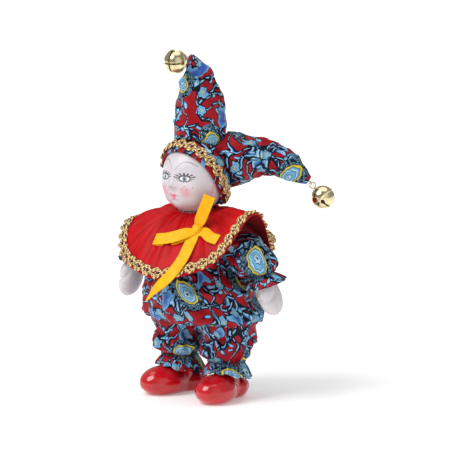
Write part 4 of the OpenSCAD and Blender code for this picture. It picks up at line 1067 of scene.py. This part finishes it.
# %% Printed satin: stems and patches
NAVY, SKY, PALE, VIOLET, PATCH_BLUE = "#070a1a", "#6fadd6", "#b0d8ea", "#3f66b4", "#3a5cb0"
PRINT_RED, LEMON = "#9c0f1b", "#d6c243"
WOBBLE_MM, WOBBLE_BY, JOINT_MM, JOINT_EDGE = 9, 6.0, 5.5, 0.07
STEM_MID, STEM_HALF, PATCH_MM, PATCH_FROM = 0.497, 0.05, 12, 0.7
# Screen inks lie flat in the weave, so the print shares the satin's gloss and only its colour changes.
printed_satin, tree = new_material("screen printed polyester satin")
screens = []
flat = add(tree, "UVMap", uv_map="cloth")
cloth_mm = add(tree, "VectorMath", {0: flat, "Scale": UV_MM}, operation="SCALE")
wobble = add(tree, "TexNoise", {"Vector": cloth_mm, "Scale": 1 / WOBBLE_MM, "Detail": 1.0},
             noise_dimensions="2D")
shift = add(tree, "VectorMath", {0: wobble.outputs["Color"], 1: (0.5, 0.5, 0.5)}, operation="SUBTRACT")
drawn = add(tree, "VectorMath", {0: shift, 1: (WOBBLE_BY, WOBBLE_BY, 0.0), 2: cloth_mm},
            operation="MULTIPLY_ADD")
joints = add(tree, "TexVoronoi", {"Vector": drawn, "Scale": 1 / JOINT_MM}, feature="DISTANCE_TO_EDGE",
             voronoi_dimensions="2D")
at_joint = add(tree, "Math", {0: joints, 1: JOINT_EDGE}, operation="LESS_THAN")
for stem_mm, start in ((21.0, (0.0, 0.0, 0.0)), (17.0, (61.0, 23.0, 0.0)), (14.0, (7.0, 143.0, 0.0))):
    moved = add(tree, "VectorMath", {0: drawn, 1: start}, operation="ADD")
    drift = add(tree, "TexNoise", {"Vector": moved, "Scale": 1 / stem_mm, "Detail": 0.0},
                noise_dimensions="2D")
    stem = add(tree, "ValToRGB", {"Fac": drift}, hard=True, stops=[
        (0.0, NAVY), (0.477, VIOLET), (0.485, SKY), (0.5, PALE), (0.504, SKY), (0.515, NAVY)])
    in_stem = add(tree, "Math", {0: drift, 1: STEM_MID, 2: STEM_HALF}, operation="COMPARE")
    jointed = add(tree, "Mix", {"Factor": at_joint, UNDER: stem, OVER: linear(NAVY)}, data_type="RGBA")
    screens.append((in_stem, jointed))
moved = add(tree, "VectorMath", {0: drawn, 1: (17.0, 91.0, 0.0)}, operation="ADD")
patch = add(tree, "TexNoise", {"Vector": moved, "Scale": 1 / PATCH_MM, "Detail": 0.0}, noise_dimensions="2D")
patch_colour = add(tree, "ValToRGB", {"Fac": patch}, stops=[
    (0.0, NAVY), (0.72, NAVY), (0.725, SKY), (0.84, PATCH_BLUE)])
in_patch = add(tree, "Math", {0: patch, 1: PATCH_FROM}, operation="GREATER_THAN")
screens.append((in_patch, patch_colour))
print("stems and patches", len(screens), "screens")

# %% Printed satin: leaves and rosettes
LEAF_MM, LEAF_LONG, LEAF_WIDE, LEAF_TURNS, LEAF_EDGE = 8.6, 2.5, 1.15, 15.0, 0.9
ROSETTE_MM, ROSETTE_R, PETALS, PETAL_DEEP = 15.0, 3.0, 6.0, 0.35


def motif_cells(tree, where, size_mm, scatter):
    """Scattered motifs: the cell that holds each one, and the way from its middle."""
    cells = add(tree, "TexVoronoi", {"Vector": where, "Scale": 1 / size_mm, "Randomness": scatter},
                voronoi_dimensions="2D")
    return cells, add(tree, "VectorMath", {0: where, 1: cells.outputs["Position"]}, operation="SUBTRACT")


def ripples(tree, way, count):
    """The height above a motif's middle, and a wave that rises and falls count times round it."""
    xy = add(tree, "SeparateXYZ", {0: way}).outputs
    angle = add(tree, "Math", {0: xy["Y"], 1: xy["X"]}, operation="ARCTAN2")
    phase = add(tree, "Math", {0: angle, 1: count}, operation="MULTIPLY")
    return xy["Y"], add(tree, "Math", {0: phase}, operation="COSINE")


leaf_cells, leaf_at = motif_cells(tree, drawn, LEAF_MM, scatter=0.9)
leaf_turn = add(tree, "Math", {0: leaf_cells.outputs["Color"], 1: LEAF_TURNS}, operation="MULTIPLY")
leaf_way = add(tree, "VectorRotate", {"Vector": leaf_at, "Angle": leaf_turn}, rotation_type="Z_AXIS")
leaf_shape = add(tree, "VectorMath", {0: leaf_way, 1: (1 / LEAF_LONG, 1 / LEAF_WIDE, 0.0)},
                 operation="MULTIPLY")
leaf_reach = add(tree, "VectorMath", {0: leaf_shape}, operation="LENGTH").outputs["Value"]
leaf = add(tree, "ValToRGB", {"Fac": leaf_reach}, hard=True, stops=[
    (0.0, NAVY), (0.12, PALE), (0.34, SKY), (0.62, VIOLET), (0.7, NAVY)])
screens.append((add(tree, "Math", {0: leaf_reach, 1: LEAF_EDGE}, operation="LESS_THAN"), leaf))

rosette_at = motif_cells(tree, drawn, ROSETTE_MM, scatter=0.85)[1]
petals = ripples(tree, rosette_at, PETALS)[1]
rosette_mm = add(tree, "VectorMath", {0: rosette_at}, operation="LENGTH").outputs["Value"]
petal_reach = add(tree, "Math", {0: petals, 1: -PETAL_DEEP, 2: rosette_mm}, operation="MULTIPLY_ADD")
petal_share = add(tree, "Math", {0: petal_reach, 1: ROSETTE_R}, operation="DIVIDE")
rosette = add(tree, "ValToRGB", {"Fac": petal_share}, hard=True, stops=[
    (0.0, LEMON), (0.12, NAVY), (0.2, PALE), (0.36, NAVY), (0.44, SKY), (0.82, NAVY)])
screens.append((add(tree, "Math", {0: petal_share, 1: 1.0}, operation="LESS_THAN"), rosette))
print("leaves and rosettes", len(screens), "screens")

# %% Printed satin: medallions
MEDALLION_MM, MEDALLION_R, MEDALLION_TURNS, FILIGREE_MM = 46.0, 12.0, 9.0, 1.9
SCALLOPS, SCALLOP_DEEP, PAISLEY_LEAN, HALO_EDGE, RIM_EDGE = 13.0, 0.22, 0.22, 0.86, 0.55
spots, spot_at = motif_cells(tree, cloth_mm, MEDALLION_MM, scatter=0.7)
spot_turn = add(tree, "Math", {0: spots.outputs["Color"], 1: MEDALLION_TURNS}, operation="MULTIPLY")
spot_way = add(tree, "VectorRotate", {"Vector": spot_at, "Angle": spot_turn}, rotation_type="Z_AXIS")
paisley = add(tree, "VectorMath", {0: spot_way, 1: (1.3, 0.82, 0.0)}, operation="MULTIPLY")
paisley_mm = add(tree, "VectorMath", {0: paisley}, operation="LENGTH").outputs["Value"]
spot_up, scallops = ripples(tree, spot_way, SCALLOPS)
leaning = add(tree, "Math", {0: spot_up, 1: PAISLEY_LEAN, 2: paisley_mm}, operation="MULTIPLY_ADD")
rim_mm = add(tree, "Math", {0: scallops, 1: SCALLOP_DEEP, 2: leaning}, operation="MULTIPLY_ADD")
rim_share = add(tree, "Math", {0: rim_mm, 1: MEDALLION_R}, operation="DIVIDE")
curls = add(tree, "TexVoronoi", {"Vector": drawn, "Scale": 1 / FILIGREE_MM}, voronoi_dimensions="2D")
filigree = add(tree, "ValToRGB", {"Fac": curls.outputs["Distance"]}, hard=True, stops=[
    (0.0, PALE), (0.13, NAVY), (0.35, SKY), (0.43, NAVY)])
screens.append((add(tree, "Math", {0: rim_share, 1: HALO_EDGE}, operation="LESS_THAN"), filigree))
medallion = add(tree, "ValToRGB", {"Fac": rim_share}, hard=True, stops=[
    (0.0, NAVY), (0.05, PALE), (0.13, NAVY), (0.155, SKY), (0.27, NAVY), (0.295, PALE), (0.34, SKY),
    (0.41, NAVY), (0.435, LEMON), (0.52, NAVY)])
screens.append((add(tree, "Math", {0: rim_share, 1: RIM_EDGE}, operation="LESS_THAN"), medallion))

printed = linear(PRINT_RED)
for mask, colours in screens:
    printed = add(tree, "Mix", {"Factor": mask, UNDER: printed, OVER: colours}, data_type="RGBA")
satin_shader(tree, printed, roughness=0.36, weave_mm=0.5, flat=flat)
print("print nodes", len(tree.nodes))

# %% [markdown]
# ## Plain satin
# The red collar has no print, but shows both its sides: satin is glossy on its face and dull on
# its back, where the red is painted darker as shade, and the collar's flat map tells the two apart. The bow
# is woven ribbon.

# %% Red satin and ribbon
RED_DRIFT_MM, YELLOW_DRIFT_MM = 9, 5
# Piece-dyed woven satin: a deep red that drifts a little, glossy in front and dull behind, where
# the red is painted darker as shade.
red_satin, tree = new_material("red polyester satin")
flat = add(tree, "UVMap", uv_map="cloth")
dye = add(tree, "TexNoise", {"Vector": flat, "Scale": UV_MM / RED_DRIFT_MM, "Detail": 2.0})
red_dye = add(tree, "ValToRGB", {"Fac": dye}, stops=[(0.3, "#aa0209"), (0.7, "#c8020c")])
cloth_way = add(tree, "SeparateXYZ", {0: flat}).outputs["Y"]
face_side = add(tree, "Math", {0: cloth_way, 1: collar_slope_mm / UV_MM}, operation="GREATER_THAN")
# Painted shade: the collar's back, which faces the body, takes a darker red than its face.
red_and_painted_shade = add(tree, "Mix", {"Factor": face_side, UNDER: linear("#7a050b"), OVER: red_dye}, data_type="RGBA")
dull_back = add(tree, "MapRange", {"Value": face_side, "To Min": 1.0, "To Max": 0.42})
satin_shader(tree, red_and_painted_shade, roughness=dull_back, weave_mm=0.5, flat=flat)

# Ribbon woven to its width: a warm yellow with a soft gloss, a little uneven along its length.
ribbon_satin, tree = new_material("yellow woven satin ribbon")
flat = add(tree, "UVMap", uv_map="cloth")
dye = add(tree, "TexNoise", {"Vector": flat, "Scale": UV_MM / YELLOW_DRIFT_MM, "Detail": 2.0})
yellow_dye = add(tree, "ValToRGB", {"Fac": dye}, stops=[(0.3, "#f5ab0c"), (0.7, "#ffbe1e")])
satin_shader(tree, yellow_dye, roughness=0.45, weave_mm=0.6, flat=flat)
print("satins", red_satin.name, "and", ribbon_satin.name)

# %% [markdown]
# ## Braid, metal and thread
# The braid's cord is wound with a flat metal thread, and its colour is painted in short bars: a
# painted highlight on each turn and painted shade in the gaps between turns. The bells are
# stamped brass, polished and lacquered. Sewing thread and covered elastic are matt.

# %% Braid
WINDING_MM, SPECK_MM = 0.6, 1.2
# Flat metal thread wound round a cord: short bars with a painted highlight, and painted shade in
# the gaps between them. They are drawn 1.7 mm apart, coarser than real ones, which would be too fine to show.
gold_gimp, tree = new_material("metal thread wound gimp cord")
flat = add(tree, "UVMap", uv_map="cloth")
winding = add(tree, "TexWave", {
    "Vector": flat, "Scale": UV_MM / WINDING_MM / WAVE_ROUND, "Distortion": 0.6}, bands_direction="DIAGONAL")
# Painted light: a bright bar on each turn of the metal thread, and painted shade in the gaps.
winding_highlight_and_shade = add(tree, "ValToRGB", {"Fac": winding}, stops=[
    (0.1, "#5e3a12"), (0.4, "#bd8a36"), (0.85, "#f8dfa4")])
relief = add(tree, "Bump", {"Height": winding, "Strength": 0.7, "Distance": 0.3 * MM})
add(tree, "OutputMaterial", {"Surface": add(tree, "BsdfPrincipled", {
    "Base Color": winding_highlight_and_shade, "Metallic": 0.4, "Roughness": 0.42, "Normal": relief})})

# Gauze with tiny beads: painted dark as the shade in the eyes of the braid, with pale and rosy specks.
braid_core, tree = new_material("dark braid core")
flat = add(tree, "UVMap", uv_map="cloth")
specks = add(tree, "TexVoronoi", {"Vector": flat, "Scale": UV_MM / SPECK_MM}, voronoi_dimensions="2D")
# Painted shade: most cells are near black or dark red, the shade under the cords; the rest are pale beads.
specks_and_painted_shade = add(tree, "ValToRGB", {"Fac": specks.outputs["Color"]}, hard=True, stops=[
    (0.0, "#2a1418"), (0.4, "#6a2430"), (0.65, "#d9a0a8"), (0.8, "#f0e4dc")])
add(tree, "OutputMaterial", {"Surface": add(tree, "BsdfPrincipled", {
    "Base Color": specks_and_painted_shade, "Roughness": 0.6})})
print("braid", gold_gimp.name, "and", braid_core.name)

# %% Metal and thread
TARNISH_MM, FIBRE_MM, SCUFFS_PER_MM = 2.5, 0.4, 0.9
# Stamped, polished and lacquered: a pale bright mirror, a little cloudy in patches.
brass, tree = new_material("lacquered bell brass")
spot = add(tree, "TexCoord").outputs["Object"]
tarnish = add(tree, "TexNoise", {"Vector": spot, "Scale": 1 / (TARNISH_MM * MM), "Detail": 3.0})
tone = add(tree, "ValToRGB", {"Fac": tarnish}, stops=[(0.3, "#d8c596"), (0.75, "#f0e4c2")])
worn = add(tree, "MapRange", {"Value": tarnish, "To Min": 0.1, "To Max": 0.22})
add(tree, "OutputMaterial", {"Surface": add(tree, "BsdfPrincipled", {
    "Base Color": tone, "Metallic": 1.0, "Roughness": worn})})

# Rolled steel: grey metal that fine scuffs make half dull.
pellet_steel, tree = new_material("plain steel pellet")
spot = add(tree, "TexCoord").outputs["Object"]
scuffs = add(tree, "TexNoise", {"Vector": spot, "Scale": SCUFFS_PER_MM / MM, "Detail": 3.0})
dull = add(tree, "MapRange", {"Value": scuffs, "To Min": 0.25, "To Max": 0.45})
add(tree, "OutputMaterial", {"Surface": add(tree, "BsdfPrincipled", {
    "Base Color": linear("#8c8c8a"), "Metallic": 1.0, "Roughness": dull})})


def spun(name, dark, light, roughness):
    """Spun fibre: uneven tone along the yarn and a fuzzy matt surface, coarser than real fibres."""
    material, tree = new_material(name)
    spot = add(tree, "TexCoord").outputs["Object"]
    fibre = add(tree, "TexNoise", {"Vector": spot, "Scale": 1 / (FIBRE_MM * MM), "Detail": 4.0})
    relief = add(tree, "Bump", {"Height": fibre, "Strength": 0.4, "Distance": 0.1 * MM})
    tone = add(tree, "ValToRGB", {"Fac": fibre}, stops=[(0.3, dark), (0.7, light)])
    add(tree, "OutputMaterial", {"Surface": add(tree, "BsdfPrincipled", {
        "Base Color": tone, "Roughness": roughness, "Sheen Weight": 0.3, "Normal": relief})})
    return material


white_thread = spun("white sewing thread", "#cfc8bb", "#efeae0", roughness=0.8)
navy_elastic = spun("navy covered elastic", "#10142c", "#252c54", roughness=0.85)
pink_elastic = spun("pink covered elastic", "#d98a94", "#eeb0b6", roughness=0.75)
print("materials", len(bpy.data.materials))

# %% [markdown]
# ## Porcelain
# Bisque is unglazed porcelain: white, faintly pink, with a soft gloss from handling. The shoes are
# dipped in red glaze, which is glassy and pools a little darker in the hollows.

# %% Porcelain
BISQUE_DARK, BISQUE_LIGHT = "#cdc6cb", "#dad3d7"
# A third of a millimetre for a grain, coarser than in real bisque, which would be too fine to show,
# 11 mm for a cloud of tone and 8 mm for a pool of glaze.
GRAINS_PER_MM, CLOUDS_PER_MM, POOLS_PER_MM = 3.0, 0.09, 0.12


def bisque_shader(tree, colour):
    """Fired porcelain slip: a fine grain, a soft gloss and a little light carried under the skin."""
    spot = add(tree, "TexCoord").outputs["Object"]
    grain = add(tree, "TexNoise", {"Vector": spot, "Scale": GRAINS_PER_MM / MM, "Detail": 2.0})
    relief = add(tree, "Bump", {"Height": grain, "Strength": 0.05, "Distance": 0.1 * MM})
    add(tree, "OutputMaterial", {"Surface": add(tree, "BsdfPrincipled", {
        "Base Color": colour, "Roughness": 0.38, "Normal": relief, "Subsurface Weight": 0.1,
        "Subsurface Radius": (0.002, 0.0012, 0.001), "Subsurface Scale": 1.0})})


def bisque_tone(tree):
    spot = add(tree, "TexCoord").outputs["Object"]
    cloud = add(tree, "TexNoise", {"Vector": spot, "Scale": CLOUDS_PER_MM / MM, "Detail": 3.0})
    return add(tree, "ValToRGB", {"Fac": cloud}, stops=[(0.3, BISQUE_DARK), (0.7, BISQUE_LIGHT)])


bisque, tree = new_material("bisque porcelain")
bisque_shader(tree, bisque_tone(tree))

# Dipped and fired glaze: a glassy coat over slow ripples, darker where it pools.
red_glaze, tree = new_material("red glazed porcelain")
spot = add(tree, "TexCoord").outputs["Object"]
pool = add(tree, "TexNoise", {"Vector": spot, "Scale": POOLS_PER_MM / MM, "Detail": 2.0})
ripple = add(tree, "Bump", {"Height": pool, "Strength": 0.04, "Distance": 0.6 * MM})
glaze_red = add(tree, "ValToRGB", {"Fac": pool}, stops=[(0.3, "#b00812"), (0.7, "#d2101c")])
add(tree, "OutputMaterial", {"Surface": add(tree, "BsdfPrincipled", {
    "Base Color": glaze_red, "Roughness": 0.16, "Normal": ripple, "IOR": 1.5, "Coat Weight": 0.5,
    "Coat Roughness": 0.05})})
print("porcelain", bisque.name, "and", red_glaze.name)

# %% [markdown]
# ## Painted face
# The face is painted on the bisque with a fine brush and a puff of rouge: thin arched brows, round
# eyes with spread lashes, pink cheeks, four freckles a side and a small heart of a mouth. The head's
# flat map holds degrees round and up the face, so a dab is an ellipse in degrees, and folding the
# map at the nose paints both sides at once.

# %% Cheeks and mouth
ROUGE, FRECKLE, LIP, LIP_LINE = "#e07484", "#4a342e", "#ea7a90", "#b04058"
painted_bisque, tree = new_material("painted bisque porcelain")
flat = add(tree, "UVMap", uv_map="cloth")
degrees = add(tree, "VectorMath", {0: flat, "Scale": UV_MM}, operation="SCALE")
folded = add(tree, "VectorMath", {0: degrees}, operation="ABSOLUTE")
side = add(tree, "SeparateXYZ", {0: folded}).outputs["X"]
up = add(tree, "SeparateXYZ", {0: degrees}).outputs["Y"]
half_face = add(tree, "CombineXYZ", {"X": side, "Y": up})


def reach_from(where, middle, half):
    """How far each point lies from an ellipse's middle: 1 on its edge."""
    scaled = add(tree, "VectorMath", {
        0: where, 1: (1 / half[0], 1 / half[1], 0.0), 2: (-middle[0] / half[0], -middle[1] / half[1], 0.0)},
        operation="MULTIPLY_ADD")
    return scaled, add(tree, "VectorMath", {0: scaled}, operation="LENGTH").outputs["Value"]


def dab(under, where, middle, half, colour, strength=1.0, soft=0.25):
    """An ellipse of paint with a soft edge."""
    cover = add(tree, "MapRange", {
        "Value": reach_from(where, middle, half)[1], "From Min": 1 - soft, "From Max": 1 + soft,
        "To Min": strength, "To Max": 0.0}, interpolation_type="SMOOTHSTEP")
    return add(tree, "Mix", {"Factor": cover, UNDER: under, OVER: linear(colour)}, data_type="RGBA")


paint = dab(bisque_tone(tree), half_face, (25, -19), (9, 8.5), ROUGE, strength=0.6, soft=0.9)
for freckle in ((23.5, -9.8), (38, -11), (19, -14), (28, -14)):
    paint = dab(paint, half_face, freckle, (0.9, 0.9), FRECKLE, strength=0.9)
for lobe, lobe_half in (((-6.8, -27), (4.9, 3.3)), ((0.8, -27), (4.9, 3.3)), ((-3, -30.4), (6, 3.8))):
    paint = dab(paint, degrees, lobe, lobe_half, LIP, strength=0.9, soft=0.2)
paint = dab(paint, degrees, (-3, -28.6), (5.5, 0.35), LIP_LINE, strength=0.7, soft=0.4)
print("cheeks and mouth", len(tree.nodes), "nodes")

# %% Brows
BROW_BROWN, BROW_COVER, BROW_THICK = "#6e625e", 0.7, 0.8
BROW_TOP, BROW_IN, BROW_OUT = (24.0, 33.0), 0.036, 0.014
BROW_MID, BROW_HALF = 25.5, 22.0
along_brow = add(tree, "Math", {0: side, 1: BROW_TOP[0]}, operation="SUBTRACT")
inner = add(tree, "Math", {0: along_brow, 1: 0.0}, operation="LESS_THAN")
bend = add(tree, "Math", {0: inner, 1: BROW_IN - BROW_OUT, 2: BROW_OUT}, operation="MULTIPLY_ADD")
squared = add(tree, "Math", {0: along_brow, 1: 2.0}, operation="POWER")
brow_fall = add(tree, "Math", {0: squared, 1: bend, 2: up}, operation="MULTIPLY_ADD")
on_brow = add(tree, "Math", {0: brow_fall, 1: BROW_TOP[1], 2: BROW_THICK}, operation="COMPARE")
in_brow = add(tree, "Math", {0: side, 1: BROW_MID, 2: BROW_HALF}, operation="COMPARE")
brow = add(tree, "Math", {0: on_brow, 1: in_brow}, operation="MULTIPLY")
brow_cover = add(tree, "Math", {0: brow, 1: BROW_COVER}, operation="MULTIPLY")
paint = add(tree, "Mix", {"Factor": brow_cover, UNDER: paint, OVER: linear(BROW_BROWN)}, data_type="RGBA")
print("brows", len(tree.nodes), "nodes")

# %% Eyes
LASH, IRIS, IRIS_RIM = "#141214", "#7d9aa8", "#39444c"
EYE_WHITE, PUPIL, GLEAM = "#e4e8ec", "#0c0c0e", "#ffffff"
EYE, EYE_HALF, LASHES, LASH_COVER = (23.4, 3.8), (10.2, 4.7), 15.0, 0.9
eye_at, eye_reach = reach_from(half_face, EYE, EYE_HALF)
eye_up, lash_wave = ripples(tree, eye_at, LASHES)
on_lash = add(tree, "Math", {0: lash_wave, 1: 0.05}, operation="GREATER_THAN")
lash_long = add(tree, "MapRange", {
    "Value": eye_up, "From Min": -0.6, "From Max": 0.6, "To Min": 1.35, "To Max": 2.15})
in_lash = add(tree, "Math", {0: eye_reach, 1: lash_long}, operation="LESS_THAN")
lash = add(tree, "Math", {0: on_lash, 1: in_lash}, operation="MULTIPLY")
lash_cover = add(tree, "Math", {0: lash, 1: LASH_COVER}, operation="MULTIPLY")
paint = add(tree, "Mix", {"Factor": lash_cover, UNDER: paint, OVER: linear(LASH)}, data_type="RGBA")
lid_half, white_half = (EYE_HALF[0] * 1.1, EYE_HALF[1] * 1.24), (EYE_HALF[0] * 0.9, EYE_HALF[1] * 0.86)
paint = dab(paint, half_face, (EYE[0], EYE[1] + 0.5), lid_half, LASH, strength=0.95, soft=0.08)
paint = dab(paint, half_face, EYE, white_half, EYE_WHITE, soft=0.08)
for half, colour in (((3.9, 4.0), IRIS_RIM), ((3.2, 3.3), IRIS), ((1.7, 1.8), PUPIL)):
    paint = dab(paint, half_face, EYE, half, colour, soft=0.1)
# A painted highlight: a white dot up and to the same side in each eye.
for eye_x in (EYE[0], -EYE[0]):
    paint = dab(paint, degrees, (eye_x + 1.2, EYE[1] + 1.4), (0.8, 0.8), GLEAM, soft=0.2)
bisque_shader(tree, paint)
print("face nodes", len(tree.nodes))

# %% [markdown]
# ## Assembly
# Every piece takes its finish, rides on the CAD body that carries it and stands in for its solid.
# The bells keep their CAD solids, which have the right shape already, and only take a finish.

# %% Assembly
seated(head, painted_bisque, "bisque_porcelain", "head", "head_shell")
seated(hood, printed_satin, "printed_satin", "head", "hat_cap")
seated(right_horn, printed_satin, "printed_satin", "head", "hat_right_horn")
seated(left_horn, printed_satin, "printed_satin", "head", "hat_left_horn")
seated(hood_braid, gold_gimp, "gold_braid", "head", "hat_braid")
seated(hood_core, braid_core, "gold_braid", "head")
seated(chin_elastic, pink_elastic, "pink_elastic", "head", "chin_elastic")
seated(collar, red_satin, "red_satin", "torso", "collar")
seated(collar_braid, gold_gimp, "gold_braid", "torso", "collar_braid")
seated(collar_core, braid_core, "gold_braid", "torso")
for piece, node in ((knot, "bow_knot"), (upper_loop, "bow_upper_loop"), (side_loop, "bow_side_loop"),
                    (short_tail, "bow_short_tail"), (long_tail, "bow_long_tail")):
    seated(piece, ribbon_satin, "yellow_ribbon", "torso", node)
seated(torso, printed_satin, "printed_satin", "torso", "torso_cloth")
for name in SIDES:
    seated(sleeves[name], printed_satin, "printed_satin", f"{name}_arm", f"{name}_sleeve")
    seated(hands[name], bisque, "bisque_porcelain", f"{name}_hand", f"{name}_hand")
    seated(legs[name], printed_satin, "printed_satin", f"{name}_leg", f"{name}_trouser_leg")
    seated(shoes[name], red_glaze, "red_glaze", f"{name}_shoe", f"{name}_shoe")
for node, body in thread_bodies.items():
    seated(threads[node], white_thread, "white_thread", body, node)
for node, body in elastic_bodies.items():
    seated(threads[node], navy_elastic, "cuff_elastic", body, node)
for name in SIDES:
    for node, material in (("shell", brass), ("loop", brass), ("pellet", pellet_steel)):
        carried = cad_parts[f"{name}_bell_{node}"]
        carried.data.materials.clear()
        carried.data.materials.append(material)
        carried.data.shade_smooth()

# %% Listed fill shares
for piece, fill in ((torso, 0.75), (right_horn, 0.8), (left_horn, 0.7), (hood, 0.2),
                    *((sleeves[n], 0.7) for n in SIDES), *((legs[n], 0.8) for n in SIDES)):
    print("padded", piece.name, fill)
